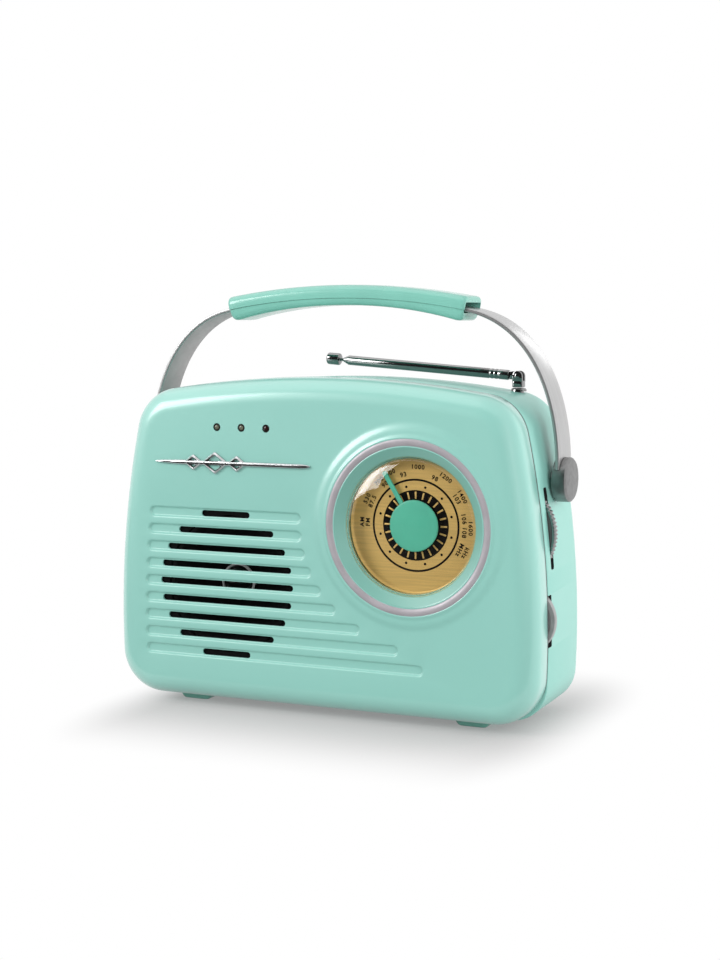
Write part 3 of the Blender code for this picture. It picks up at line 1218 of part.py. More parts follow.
def antenna():
    seat = top_height(ANTENNA_X - BASE_RADIUS, ANTENNA_DEPTH - BASE_RADIUS) + GAP
    base_top = seat + BASE_FLANGE
    hinge_z = seat + ANTENNA_HINGE_ABOVE
    shank_end = seat - BASE_SHANK_LENGTH
    base_profile = [(0.0, base_top), (BASE_RADIUS, base_top), (BASE_RADIUS, seat),
                    (BASE_SHANK_RADIUS, seat), (BASE_SHANK_RADIUS, shank_end), (0.0, shank_end)]
    base_mesh = turned_mesh("antenna_base", base_profile, 20)
    add("antenna_base", base_mesh, at(ANTENNA_X, ANTENNA_DEPTH, 0.0), "chrome")

    fork_low = base_top + GAP
    fork_high = hinge_z + TONGUE_RADIUS + 2 * GAP
    fork_size = (FORK_SIDE, FORK_SIDE, fork_high - fork_low)
    fork = add("antenna_knuckle", box_mesh("antenna_knuckle", fork_size),
               at(ANTENNA_X, ANTENNA_DEPTH, (fork_low + fork_high) / 2), "chrome")
    mouth_low = hinge_z - TONGUE_RADIUS - GAP
    mouth = (2 * FORK_SIDE, TONGUE_THICKNESS + 2 * GAP, 2 * (fork_high - mouth_low))
    box_cut(fork, "fork_mouth", mouth, ANTENNA_X, ANTENNA_DEPTH, fork_high)

    lean = Matrix.Rotation(-(math.pi / 2 - ANTENNA_RISE), 4, "Y")
    along = at(ANTENNA_X, ANTENNA_DEPTH, hinge_z, lean)
    floor = TUBE_START + TUBE_FLOOR
    bore = TUBE_RADIUS - TUBE_SHEET
    outer_profile = [(0.0, floor), (bore, floor), (bore, TUBE_END), (TUBE_RADIUS, TUBE_END),
                     (TUBE_RADIUS, TUBE_START), (0.0, TUBE_START)]
    outer = add(TUBE_NAMES[0], turned_mesh(TUBE_NAMES[0], outer_profile, 16), along, "chrome")
    tongue_end = floor - GAP
    side_view = arc((0.0, 0.0), TONGUE_RADIUS, math.pi, 2 * math.pi, 6)
    side_view += [(TONGUE_RADIUS, tongue_end), (-TONGUE_RADIUS, tongue_end)]
    tongue_mesh = plate_mesh("antenna_tongue", [side_view], TONGUE_THICKNESS)
    join(outer, cutter("antenna_tongue", tongue_mesh, along @ FACING_FRONT))
    stages = [outer]
    radius = TUBE_RADIUS
    for i, name in enumerate(TUBE_NAMES[1:], 1):
        radius -= TUBE_SHEET + GAP
        start = floor + i * TUBE_STEP
        end = TUBE_END + i * TUBE_STEP
        inside = radius - TUBE_SHEET
        profile = [(radius, end), (radius, start), (inside, start), (inside, end)]
        stages.append(add(name, turned_mesh(name, profile, 16), along, "chrome"))
    radius -= TUBE_SHEET + GAP
    last = len(TUBE_NAMES)
    rod_start = floor + last * TUBE_STEP
    rod_end = TUBE_END + last * TUBE_STEP
    tip_end = rod_end + TIP_LENGTH
    neck = 0.62 * TIP_RADIUS
    rod_profile = [(0.0, tip_end), (TIP_RADIUS - SOFT_EDGE, tip_end), (TIP_RADIUS, tip_end - SOFT_EDGE),
                   (TIP_RADIUS, tip_end - 0.62 * TIP_LENGTH), (neck, tip_end - 0.75 * TIP_LENGTH),
                   (neck, rod_end), (radius, rod_end), (radius, rod_start), (0.0, rod_start)]
    stages.append(add("antenna_rod", turned_mesh("antenna_rod", rod_profile, 16), along, "chrome"))
    axis_empty("antenna_swivel_axis", (ANTENNA_X, FACE_Y + ANTENNA_DEPTH, base_top), [fork])
    axis_empty("antenna_fold_axis", (ANTENNA_X, FACE_Y + ANTENNA_DEPTH, hinge_z), stages)


def smooth_parts():
    for item in PARTS.objects:
        if item.type == "MESH":
            item.data.shade_smooth()
            item.data.set_sharp_from_angle(angle=math.radians(35))


def main():
    front_shell()
    rear_shell()
    seam_trim()
    feet()
    bezel_ring()
    dial_lens()
    dial_plate()
    dial_drive()
    gear_bracket()
    tuning_drive()
    volume_drive()
    lamps()
    front_ornament()
    speaker()
    circuit_board()
    batteries()
    rear_fittings()
    case_screws()
    handle()
    antenna()
    smooth_parts()


main()
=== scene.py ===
"""Looks of a portable radio with a carry handle, a tuning dial and a telescopic antenna.

Sizes are in metres. A depth is measured back from the flat of the front face, so y = FACE_Y + depth.
"""

import json
import math

import bmesh
import bpy
from bpy.props import FloatProperty, FloatVectorProperty, IntProperty, PointerProperty
from mathutils import Matrix, Vector
from mathutils.geometry import delaunay_2d_cdt


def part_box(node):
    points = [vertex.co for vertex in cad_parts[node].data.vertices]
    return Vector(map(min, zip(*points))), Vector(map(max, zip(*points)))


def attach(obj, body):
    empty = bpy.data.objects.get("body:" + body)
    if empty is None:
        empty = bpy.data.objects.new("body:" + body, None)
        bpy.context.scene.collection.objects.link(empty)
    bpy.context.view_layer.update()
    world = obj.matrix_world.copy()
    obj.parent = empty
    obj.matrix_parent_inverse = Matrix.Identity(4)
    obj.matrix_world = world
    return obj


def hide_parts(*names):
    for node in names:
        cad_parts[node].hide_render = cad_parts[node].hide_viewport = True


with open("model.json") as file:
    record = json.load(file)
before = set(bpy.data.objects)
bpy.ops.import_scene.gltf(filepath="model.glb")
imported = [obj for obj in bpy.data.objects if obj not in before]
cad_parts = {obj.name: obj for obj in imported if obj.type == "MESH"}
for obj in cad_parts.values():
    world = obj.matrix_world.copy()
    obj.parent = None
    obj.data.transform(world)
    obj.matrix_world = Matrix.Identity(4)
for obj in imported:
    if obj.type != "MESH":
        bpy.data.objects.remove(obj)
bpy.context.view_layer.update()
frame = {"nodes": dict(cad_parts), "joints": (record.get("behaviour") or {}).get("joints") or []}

bl_info = {
    "name": "Portable Radio Looks",
    "version": (1, 0, 0),
    "blender": (4, 5, 0),
    "location": "3D View > Sidebar > Radio",
    "description": "Builds the finished surfaces of a portable radio round its packed parts",
    "category": "Object",
}

MM = 0.001
GAP = 0.3 * MM
JOINTS = {joint["name"]: joint for joint in frame["joints"]}

# Case
CASE_LOW, CASE_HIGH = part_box("rear_shell")
HALF_WIDTH = CASE_HIGH.x
CASE_TOP = CASE_HIGH.z
CASE_BOTTOM = CASE_LOW.z
LENS_PROUD = 4 * MM
FACE_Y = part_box("dial_lens")[0].y + LENS_PROUD
CASE_DEPTH = CASE_HIGH.y - FACE_Y
WALL = 2.5 * MM
SIDE_RADIUS = 530 * MM
SIDE_CENTRE = (HALF_WIDTH - SIDE_RADIUS, 50 * MM)
TOP_RADIUS = 602 * MM
TOP_CENTRE = (0.0, CASE_TOP - TOP_RADIUS)
TOP_CORNER = 27 * MM
FRONT_LOW_CORNER = 26 * MM
REAR_LOW_CORNER = 21 * MM
FRONT_FILLET = 13 * MM
BACK_FILLET = 16 * MM
REAR_DRAFT = 1.5 * MM
FACE_HOLD = 1.2 * MM
FRONT_END = 22.5 * MM
TRIM_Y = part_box("seam_trim")[0].y
TRIM_THICKNESS = 1 * MM
TRIM_INSET = 0.25 * MM
TRIM_WIDTH = 3.5 * MM
REAR_START = CASE_LOW.y - FACE_Y

# Sound slots
SPEAKER_LOW, SPEAKER_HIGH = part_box("speaker_frame")
SPEAKER_X = (SPEAKER_LOW.x + SPEAKER_HIGH.x) / 2
SPEAKER_Z = (SPEAKER_LOW.z + SPEAKER_HIGH.z) / 2
SLOT_MIDDLE = SPEAKER_X - 1.8 * MM
SLOT_COUNT = 9
SLOT_PITCH = 10 * MM
SLOT_HALF = 1.8 * MM
GROOVE_HALF = 2.8 * MM
GROOVE_SIDE_MARGIN = 21 * MM
GROOVE_DIAL_RADIUS = 65 * MM
SLOT_FIELD_RADIUS = 42.8 * MM
SHORT_SLOT = 15.5 * MM
LONG_SLOT = 43.4 * MM
LOW_GROOVES_PAST_DIAL = (9 * MM, -6 * MM)

# Dial
RING_LOW, RING_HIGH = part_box("bezel_ring")
DIAL_X = (RING_LOW.x + RING_HIGH.x) / 2
DIAL_Z = (RING_LOW.z + RING_HIGH.z) / 2
SURROUND_BACK_RADIUS = 53 * MM
JUST_INSIDE = 0.9995
PLATE_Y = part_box("dial_plate")[0].y
PLATE_RADIUS = 43.5 * MM
POINTER_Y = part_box("dial_pointer")[0].y

# Handle
PIVOT_Y = JOINTS["handle_swing"]["pos_m"][1]
PIVOT_Z = JOINTS["handle_swing"]["pos_m"][2]
DRUM_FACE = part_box("handle_drum_right")[0].x
DRUM_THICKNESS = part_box("handle_drum_right")[1].x - DRUM_FACE
GRIP_RADIUS = 413 * MM
GRIP_CENTRE_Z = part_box("grip_upper")[1].z - GRIP_RADIUS
GRIP_HALF = 74 * MM
GRIP_FLARE = 3.0
GRIP_FLARE_POWER = 2.4
STRAP_RADIUS = GRIP_RADIUS - 7.5 * MM
STRAP_HALF_WIDTH = 11 * MM
STRAP_FOOT_X = DRUM_FACE + DRUM_THICKNESS - 5.3 * MM
STRAP_FOOT_Z = PIVOT_Z + 6 * MM
STRAP_SHOULDER_PULL = 35 * MM
STRAP_FOOT_PULL = 46 * MM

# Sides of round shapes, by how large they are seen
TINY_SIDES = 24
SMALL_SIDES = 32
TUBE_SIDES = 48
PART_SIDES = 64
CONE_SIDES = 72
DISC_SIDES = 96
WHEEL_SIDES = 120
PLATE_SIDES = 128
DIAL_SIDES = 160
LENS_SIDES = 192

FACING_FRONT = Matrix.Rotation(math.pi / 2, 4, "X")
FACING_BACK = Matrix.Rotation(-math.pi / 2, 4, "X")
FACING_RIGHT = Matrix.Rotation(math.pi / 2, 4, "Y")
FACING_LEFT = Matrix.Rotation(-math.pi / 2, 4, "Y")


# Settings

def colour_setting(name, description, default):
    return FloatVectorProperty(name=name, description=description, default=default, size=3,
                               min=0.0, max=1.0, subtype="COLOR")


def length_setting(name, description, default):
    return FloatProperty(name=name, description=description, default=default, min=0.0,
                         unit="LENGTH", precision=5)


def power_setting(name, description, default):
    return FloatProperty(name=name, description=description, default=default, min=0.0, unit="POWER")


def angle_setting(name, description, degrees):
    return FloatProperty(name=name, description=description, default=math.radians(degrees),
                         subtype="ANGLE")


class CaseSettings(bpy.types.PropertyGroup):
    """Sizes and colours of the moulded case."""
    mint: colour_setting("Mint", "Colour of both case shells", (0.275, 0.60, 0.525))
    # Bowl: a darker copy of the case mint, painted shade in the hollow round the lens; the bowl is moulded in
    # the same mint as the case.
    painted_bowl_shade: colour_setting("Bowl", "Colour of the bowl round the lens", (0.19, 0.46, 0.39))
    seam: colour_setting("Seam", "Colour of the trim between the shells", (0.09, 0.095, 0.095))
    # Speaker: the cone and dust cap are black. The near-zero level, and its use on the steel speaker frame,
    # are painted shade in the cavity behind the sound slots.
    speaker_black_and_painted_shade: colour_setting("Speaker", "Colour of the speaker cone", (0.003, 0.003, 0.0032))
    groove_depth: length_setting("Groove depth", "Depth of the grooves round the sound slots", 1.4 * MM)
    edge_round: length_setting("Edge round", "Round on the rims of the shells at the seam", 0.7 * MM)


class DialSettings(bpy.types.PropertyGroup):
    """Sizes and colours of the tuning dial."""
    gold: colour_setting("Gold", "Colour of the dial plate", (0.77, 0.51, 0.165))
    ink: colour_setting("Ink", "Colour of the printed scale", (0.003, 0.0022, 0.0015))
    hub: colour_setting("Pointer", "Colour of the hub and needle", (0.08, 0.44, 0.30))
    ring: colour_setting("Ring", "Colour of the ring round the dial", (0.45, 0.42, 0.45))
    figure_height: length_setting("Figure size", "Size of the figures on the scale", 3.5 * MM)
    needle_width: length_setting("Needle width", "Width of the needle", 2.6 * MM)
    needle_rest: angle_setting("Needle rest", "Turn of the needle to the left of upright", 31.7)


class HandleSettings(bpy.types.PropertyGroup):
    """Sizes and colours of the carry handle, side wheels and antenna."""
    metal: colour_setting("Aluminium", "Colour of the strap", (0.50, 0.50, 0.50))
    drum: colour_setting("Drums", "Colour of the drums that carry the handle", (0.3, 0.3, 0.3))
    grip: colour_setting("Grip", "Colour of the grip and feet", (0.21, 0.53, 0.44))
    chrome: colour_setting("Chrome", "Colour of the plated pieces", (0.60, 0.61, 0.62))
    rod: colour_setting("Antenna", "Colour of the antenna", (0.30, 0.30, 0.30))
    wheel: colour_setting("Wheels", "Colour of the side wheels", (0.36, 0.36, 0.36))
    strap_half: length_setting("Strap half thickness", "Half the thickness of the strap", 1.1 * MM)
    knurls: IntProperty(name="Knurls", description="Ridges round the tuning wheel", default=84, min=12)


class StageSettings(bpy.types.PropertyGroup):
    """Light levels and the camera."""
    key_power: power_setting("Key", "Power of the softbox at the left", 11.5)
    side_power: power_setting("Side", "Power of the softbox behind the right side", 14.0)
    fill_power: power_setting("Fill", "Power of the softbox at the right", 8.5)
    top_power: power_setting("Top", "Power of the softbox overhead", 2.5)
    strip_power: power_setting("Strip", "Power of the strip of light on the strap", 0.38)
    ambient: FloatProperty(name="Ambient", description="Level of the light from all round", default=0.55,
                           min=0.0)
    camera_place: FloatVectorProperty(name="Camera", description="Place of the camera",
                                      default=(0.42617, -0.91620, 0.22631), subtype="TRANSLATION")
    azimuth: angle_setting("Azimuth", "Turn of the camera to the right of the front", 24.505)
    elevation: angle_setting("Elevation", "Tilt of the camera down from level", 5.391)
    lens: FloatProperty(name="Lens", description="Focal length in millimetres", default=66.15, min=1.0)


# Making shapes

def arc(centre, radius, start, end, steps):
    """Points on an arc, both ends included."""
    points = []
    for i in range(steps + 1):
        angle = start + (end - start) * i / steps
        points.append((centre[0] + radius * math.cos(angle), centre[1] + radius * math.sin(angle)))
    return points


def circle(centre, radius, steps):
    return arc(centre, radius, 0.0, 2 * math.pi, steps)[:-1]


def rounded_rectangle(half_x, half_z, radius, centre=(0.0, 0.0), steps=4):
    points = []
    for i, (side, up) in enumerate(((1, 1), (-1, 1), (-1, -1), (1, -1))):
        corner = (centre[0] + side * (half_x - radius), centre[1] + up * (half_z - radius))
        points += arc(corner, radius, i * math.pi / 2, (i + 1) * math.pi / 2, steps)
    return points


def bar_outline(left, right, z, radius, steps=8):
    """A level bar with round ends."""
    return (arc((right, z), radius, -math.pi / 2, math.pi / 2, steps)
            + arc((left, z), radius, math.pi / 2, 1.5 * math.pi, steps))


def shrunk(outline, distance):
    """The outline drawn in evenly; it runs anticlockwise."""
    points = []
    for i, here in enumerate(outline):
        before = Vector(outline[i - 1])
        after = Vector(outline[(i + 1) % len(outline)])
        first = (Vector(here) - before).normalized()
        second = (after - Vector(here)).normalized()
        inward = Vector((-first.y - second.y, first.x + second.x))
        inward /= max(1e-9, inward.length_squared / 2)
        points.append((here[0] + inward.x * distance, here[1] + inward.y * distance))
    return points


def scaled(profile):
    """A profile of (radius, height), from millimetres."""
    return [(radius * MM, height * MM) for radius, height in profile]


def sunk(profile):
    """A profile of (radius, depth), from millimetres. Depths become heights below zero."""
    return [(radius * MM, -depth * MM) for radius, depth in profile]


def front_at(x, y, z):
    """A place with local Z towards the front and local Y up."""
    return Matrix.Translation((x, y, z)) @ FACING_FRONT


def back_at(x, y, z):
    """A place with local Z towards the back."""
    return Matrix.Translation((x, y, z)) @ FACING_BACK


def node_box(node):
    """Low corner, high corner and middle of a CAD node."""
    low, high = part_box(node)
    return low, high, (low + high) / 2


def node_middle(node):
    return node_box(node)[2]


class Form:
    """Points and faces of one piece while it is built, with a finish number for each face."""

    def __init__(self):
        self.points = []
        self.faces = []
        self.finishes = []
        self.finish = 0

    def add(self, points, faces, place=None):
        first = len(self.points)
        self.points += [tuple(place @ Vector(p)) if place is not None else tuple(p) for p in points]
        self.faces += [tuple(first + i for i in face) for face in faces]
        self.finishes += [self.finish] * len(faces)

    def loft(self, rings, place=None, start_cap=False, end_cap=False, wrap=False):
        """Rings of equal count joined in order. A wrapped loft joins the last ring to the first."""
        count = len(rings[0])
        points = [p for ring in rings for p in ring]
        faces = []
        last = len(rings) if wrap else len(rings) - 1
        for r in range(last):
            near = r * count
            far = (r + 1) % len(rings) * count
            for i in range(count):
                j = (i + 1) % count
                faces.append((near + i, near + j, far + j, far + i))
        if start_cap:
            faces.append(tuple(range(count)))
        if end_cap:
            faces.append(tuple((len(rings) - 1) * count + i for i in range(count)))
        self.add(points, faces, place)

    def turn(self, profile, sides, place=None, wrap=False):
        """A profile of (radius, height) turned about local Z."""
        rings = []
        points = []
        for radius, height in profile:
            first = len(points)
            if radius < 1e-8:
                points.append((0.0, 0.0, height))
                rings.append([first] * sides)
            else:
                points += [(x, y, height) for x, y in circle((0.0, 0.0), radius, sides)]
                rings.append(list(range(first, first + sides)))
        faces = []
        pairs = list(zip(rings, rings[1:]))
        if wrap:
            pairs.append((rings[-1], rings[0]))
        for near, far in pairs:
            for i in range(sides):
                j = (i + 1) % sides
                face = tuple(dict.fromkeys((near[i], near[j], far[j], far[i])))
                if len(face) > 2:
                    faces.append(face)
        self.add(points, faces, place)

    def prism(self, outline, low, high, soft, place=None):
        """An outline in local XY raised from low to high, with its rims softened."""
        steps = [(low, soft), (low + 0.3 * soft, 0.3 * soft), (low + soft, 0.0),
                 (high - soft, 0.0), (high - 0.3 * soft, 0.3 * soft), (high, soft)]
        rings = [[(x, y, height) for x, y in shrunk(outline, inset)] for height, inset in steps]
        self.loft(rings, place, start_cap=True, end_cap=True)

    def block(self, outline, low, high, place=None):
        """An outline in local XY raised from low to high, with sharp rims."""
        rings = [[(x, y, height) for x, y in outline] for height in (low, high)]
        self.loft(rings, place, start_cap=True, end_cap=True)

    def move(self, place):
        self.points = [tuple(place @ Vector(point)) for point in self.points]

    def fill(self, loops, keep, height, lines=()):
        """Triangles inside the first (x, z) loop, with the other loops and open lines as edges in it."""
        points = []
        edges = []
        for loop in loops:
            first = len(points)
            points += [Vector(p) for p in loop]
            edges += [(first + i, first + (i + 1) % len(loop)) for i in range(len(loop))]
        for line in lines:
            first = len(points)
            points += [Vector(p) for p in line]
            edges += [(first + i, first + i + 1) for i in range(len(line) - 1)]
        flat, _, faces, *_ = delaunay_2d_cdt(points, edges, [], 1, 1e-8)
        kept = []
        for face in faces:
            x = sum(flat[i].x for i in face) / len(face)
            z = sum(flat[i].y for i in face) / len(face)
            if keep(x, z):
                kept.append(tuple(face))
        self.add([(p.x, FACE_Y + height(p.x, p.y), p.y) for p in flat], kept)

    def wall(self, loop, near, far):
        """A wall round a hole from one depth to another."""
        self.loft([[(x, FACE_Y + depth, z) for x, z in loop] for depth in (near, far)])

    def mesh(self, name):
        mesh = bpy.data.meshes.new(name)
        mesh.from_pydata(self.points, [], self.faces)
        mesh.polygons.foreach_set("material_index", self.finishes)
        work = bmesh.new()
        work.from_mesh(mesh)
        bmesh.ops.remove_doubles(work, verts=work.verts, dist=0.002 * MM)
        loose = [vert for vert in work.verts if not vert.link_faces]
        bmesh.ops.delete(work, geom=loose, context="VERTS")
        bmesh.ops.recalc_face_normals(work, faces=work.faces)
        work.to_mesh(mesh)
        work.free()
        return mesh


def turned(profile, sides, place=None, wrap=False):
    """A form of one turned profile."""
    form = Form()
    form.turn(profile, sides, place, wrap)
    return form


def carve(piece, tool_form, operation):
    """Cuts another form out of a piece, or joins it on."""
    tool = bpy.data.objects.new(piece.name + "_tool", tool_form.mesh(piece.name + "_tool"))
    bpy.context.scene.collection.objects.link(tool)
    step = piece.modifiers.new("carve", "BOOLEAN")
    step.operation = operation
    step.solver = "EXACT"
    step.object = tool
    bpy.context.view_layer.update()
    seen = piece.evaluated_get(bpy.context.evaluated_depsgraph_get())
    mesh = bpy.data.meshes.new_from_object(seen)
    piece.modifiers.clear()
    piece.data = mesh
    bpy.data.objects.remove(tool, do_unlink=True)


def make(name, form, finishes, body, nodes=(), sharp=35.0, carvings=()):
    """A finished piece of the radio that rides on a body and stands for its CAD nodes."""
    piece = bpy.data.objects.new(name, form.mesh(name))
    bpy.context.scene.collection.objects.link(piece)
    for material in finishes:
        piece.data.materials.append(material)
    for operation, tool in carvings:
        carve(piece, tool, operation)
    piece.data.shade_smooth()
    piece.data.set_sharp_from_angle(angle=math.radians(sharp))
    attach(piece, body)
    if nodes:
        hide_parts(*nodes)
    return piece


# Finishes

CELLS = "cells"

# Each finish: roughness, metallic, what varies its colour (darkest and lightest share), its roughness
# (spread) and its surface (strength and height in millimetres), and further shader inputs. The last
# numbers of each are a pattern: scale, then detail and stretch of the noise, or cells.
FINISHES = {
    "mint_paint": dict(roughness=0.4, tint=(0.985, 1.015, 7.0, 1.0), polish=(0.02, 60.0),
                       Specular_IOR_Level=0.9, Coat_Weight=1.0, Coat_Roughness=0.2),
    "shell_paint": dict(roughness=0.45, tint=(0.985, 1.015, 7.0, 1.0), polish=(0.02, 60.0),
                        Specular_IOR_Level=0.5, Coat_Weight=0.4, Coat_Roughness=0.25),
    "grip_plastic": dict(roughness=0.24, tint=(0.94, 1.05, 25.0, 2.0), polish=(0.04, 90.0),
                         Coat_Weight=0.4, Coat_Roughness=0.1),
    "pointer_paint": dict(roughness=0.38, tint=(0.94, 1.06, 40.0, 2.0), polish=(0.05, 200.0),
                          relief=(0.08, 0.03, 2500.0, 2.0)),
    "satin_grey": dict(roughness=0.42, metallic=0.25, tint=(0.93, 1.05, 120.0), polish=(0.06, 400.0),
                       relief=(0.1, 0.03, 3500.0, 2.0)),
    "seam_grey": dict(roughness=0.5, tint=(0.85, 1.1, 150.0), relief=(0.1, 0.05, 2000.0)),
    "dial_gold": dict(roughness=0.5, metallic=0.5, tint=(0.9, 1.1, 30.0, 4.0, (1.0, 1.0, 30.0)),
                      polish=(0.08, 60.0, 4.0, (1.0, 1.0, 40.0)),
                      relief=(0.12, 0.03, 90.0, 3.0, (1.0, 1.0, 40.0))),
    "dial_ink": dict(roughness=0.45, tint=(0.7, 1.5, 700.0), relief=(0.1, 0.01, 3000.0),
                     Specular_IOR_Level=0.06),
    "clear_dome": dict(roughness=0.02, polish=(0.012, 35.0), relief=(0.02, 0.2, 14.0, 1.0),
                       Transmission_Weight=1.0, IOR=1.46),
    "plated_chrome": dict(roughness=0.2, metallic=1.0, tint=(0.94, 1.02, 200.0), polish=(0.04, 300.0),
                          relief=(0.03, 0.03, 900.0, 2.0)),
    "antenna_plate": dict(roughness=0.09, metallic=1.0, tint=(0.9, 1.03, 90.0, 3.0, (0.2, 3.0, 3.0)),
                          polish=(0.04, 120.0, 3.0, (0.2, 6.0, 6.0)),
                          relief=(0.03, 0.02, 500.0, 2.0, (0.1, 4.0, 4.0))),
    "brushed_aluminium": dict(roughness=0.34, metallic=0.8,
                              tint=(0.93, 1.05, 45.0, 5.0, (0.6, 14.0, 0.6)),
                              polish=(0.04, 80.0, 4.0, (0.5, 18.0, 0.5)),
                              relief=(0.05, 0.04, 140.0, 4.0, (0.4, 18.0, 0.4))),
    "drum_aluminium": dict(roughness=0.46, metallic=1.0, tint=(0.9, 1.06, 300.0), polish=(0.06, 500.0),
                           relief=(0.1, 0.03, 2600.0, 2.0)),
    "wheel_grey": dict(roughness=0.4, metallic=0.3, tint=(0.88, 1.08, 180.0), polish=(0.06, 500.0),
                       relief=(0.12, 0.03, 2800.0, 2.0)),
    "speaker_paper": dict(roughness=0.8, tint=(0.5, 1.8, 900.0, 5.0), relief=(0.4, 0.1, 1500.0, 4.0),
                          Specular_IOR_Level=0.1),
    "gloss_black": dict(roughness=0.16, tint=(0.7, 1.6, 400.0), polish=(0.05, 250.0),
                        Coat_Weight=0.5, Coat_Roughness=0.06),
    "socket_black": dict(roughness=0.48, tint=(0.7, 1.5, 350.0), relief=(0.15, 0.04, 3200.0, CELLS)),
    "lamp_lens": dict(roughness=0.18, tint=(0.8, 1.25, 900.0, 2.0), Coat_Weight=0.6, Coat_Roughness=0.05),
    "zinc_steel": dict(roughness=0.36, metallic=1.0, tint=(0.85, 1.1, 260.0, CELLS), polish=(0.1, 300.0)),
    "natural_plastic": dict(roughness=0.5, tint=(0.93, 1.04, 60.0), relief=(0.1, 0.04, 1800.0)),
    "circuit_green": dict(roughness=0.4, tint=(0.7, 1.3, 220.0, CELLS), relief=(0.3, 0.1, 220.0, CELLS)),
    "wound_copper": dict(roughness=0.3, metallic=0.9, tint=(0.6, 1.2, 120.0, 2.0, (14.0, 1.0, 1.0)),
                         relief=(0.6, 0.2, 160.0, 1.0, (16.0, 0.5, 0.5))),
    "cell_jacket": dict(roughness=0.35, metallic=0.2, tint=(0.8, 1.3, 80.0), polish=(0.08, 200.0)),
    "spring_brass": dict(roughness=0.32, metallic=1.0, tint=(0.8, 1.1, 120.0, 4.0, (1.0, 1.0, 12.0)),
                         polish=(0.08, 200.0)),
    "dark_ferrite": dict(roughness=0.55, tint=(0.6, 1.6, 500.0, 4.0), relief=(0.3, 0.08, 900.0),
                         Specular_IOR_Level=0.2),
}

# Colours that aren't settings
# Black of the sockets and battery tray. It is also painted shade on the walls of the wheel openings in the
# rear shell.
SOCKET_BLACK_AND_PAINTED_SHADE = (0.022, 0.022, 0.023)
WHEEL_HUB_GREY = (0.12, 0.12, 0.12)
# Darker grey for the strap's inner face: painted shade, because the strap is one metal all round.
STRAP_INSIDE_PAINTED_SHADE = (0.37, 0.33, 0.335)
CAP_RING_GREY = (0.8, 0.8, 0.8)
PART_STEEL = (0.50, 0.50, 0.50)
SOCKET_STEEL = (0.52, 0.52, 0.52)
CONTACT_BRASS = (0.60, 0.42, 0.15)
LAMP_SMOKED = (0.13, 0.135, 0.095)
LAMP_RED = (0.022, 0.006, 0.005)
LAMP_RIM = (0.02, 0.02, 0.018)
CELL_GREY = (0.10, 0.10, 0.12)
INNER_WHITE = (0.75, 0.74, 0.70)
FERRITE_BLACK = (0.02, 0.02, 0.02)
COIL_COPPER = (0.55, 0.24, 0.10)
BOARD_GREEN = (0.05, 0.22, 0.10)


class Finish:
    """A material whose Principled shader is fed by a few procedural textures."""

    def __init__(self, name, colour, roughness, metallic=0.0, tint=None, polish=None, relief=None, **values):
        self.material = bpy.data.materials.new(name)
        self.material.use_nodes = True
        self.nodes = self.material.node_tree.nodes
        self.links = self.material.node_tree.links
        self.shader = self.nodes["Principled BSDF"]
        self.place = self.nodes.new("ShaderNodeTexCoord").outputs["Object"]
        self.shader.inputs["Base Color"].default_value = (*colour, 1.0)
        for socket, value in dict(values, Metallic=metallic, Roughness=roughness).items():
            self.shader.inputs[socket.replace("_", " ")].default_value = value
        if tint:
            self.tint(colour, *tint)
        if polish:
            self.polish(roughness, *polish)
        if relief:
            self.relief(*relief)

    def pattern(self, scale, detail=3.0, stretch=None):
        """Noise or cells. Stretch gives how much finer a noise is along each axis."""
        if detail == CELLS:
            texture = self.nodes.new("ShaderNodeTexVoronoi")
            source, result = self.place, "Distance"
        else:
            texture = self.nodes.new("ShaderNodeTexNoise")
            texture.inputs["Detail"].default_value = detail
            source, result = self.place, "Fac"
        if stretch is not None:
            mapping = self.nodes.new("ShaderNodeMapping")
            mapping.inputs["Scale"].default_value = stretch
            self.links.new(source, mapping.inputs["Vector"])
            source = mapping.outputs["Vector"]
        texture.inputs["Scale"].default_value = scale
        self.links.new(source, texture.inputs["Vector"])
        return texture.outputs[result]

    def tint(self, colour, darkest, lightest, *pattern):
        """Varies the colour between two shares of itself."""
        ramp = self.nodes.new("ShaderNodeValToRGB")
        for stop, place, share in zip(ramp.color_ramp.elements, (0.32, 0.68), (darkest, lightest)):
            stop.position = place
            stop.color = (*[min(1.0, share * value) for value in colour], 1.0)
        self.links.new(self.pattern(*pattern), ramp.inputs["Fac"])
        self.links.new(ramp.outputs["Color"], self.shader.inputs["Base Color"])

    def polish(self, roughness, spread, *pattern):
        """Varies the roughness either side of its middle value."""
        reach = self.nodes.new("ShaderNodeMapRange")
        reach.inputs["From Min"].default_value = 0.3
        reach.inputs["From Max"].default_value = 0.7
        reach.inputs["To Min"].default_value = max(0.02, roughness - spread)
        reach.inputs["To Max"].default_value = roughness + spread
        self.links.new(self.pattern(*pattern), reach.inputs["Value"])
        self.links.new(reach.outputs["Result"], self.shader.inputs["Roughness"])

    def relief(self, strength, height, *pattern):
        """Raises the surface by a pattern, with its height in millimetres."""
        bump = self.nodes.new("ShaderNodeBump")
        bump.inputs["Strength"].default_value = strength
        bump.inputs["Distance"].default_value = height * MM
        self.links.new(self.pattern(*pattern), bump.inputs["Height"])
        self.links.new(bump.outputs["Normal"], self.shader.inputs["Normal"])


made_finishes = {}


def finish(name, colour):
    """The named finish in a colour, made the first time that it is asked for."""
    key = (name, *(round(part, 4) for part in colour))
    if key not in made_finishes:
        made_finishes[key] = Finish(name, colour, **FINISHES[name]).material
    return made_finishes[key]


# Case shape

def meeting_point(first, first_radius, second, second_radius):
    """The upper right crossing of two circles."""
    between = Vector(second) - Vector(first)
    distance = between.length
    along = (distance ** 2 + first_radius ** 2 - second_radius ** 2) / (2 * distance)
    off = math.sqrt(first_radius ** 2 - along ** 2)
    unit = between / distance
    middle = Vector(first) + unit * along
    crossings = [middle + Vector((-unit.y, unit.x)) * off * sign for sign in (1, -1)]
    return max(crossings, key=lambda point: point.y)


def bearing(centre, point):
    return math.atan2(point[1] - centre[1], point[0] - centre[0])


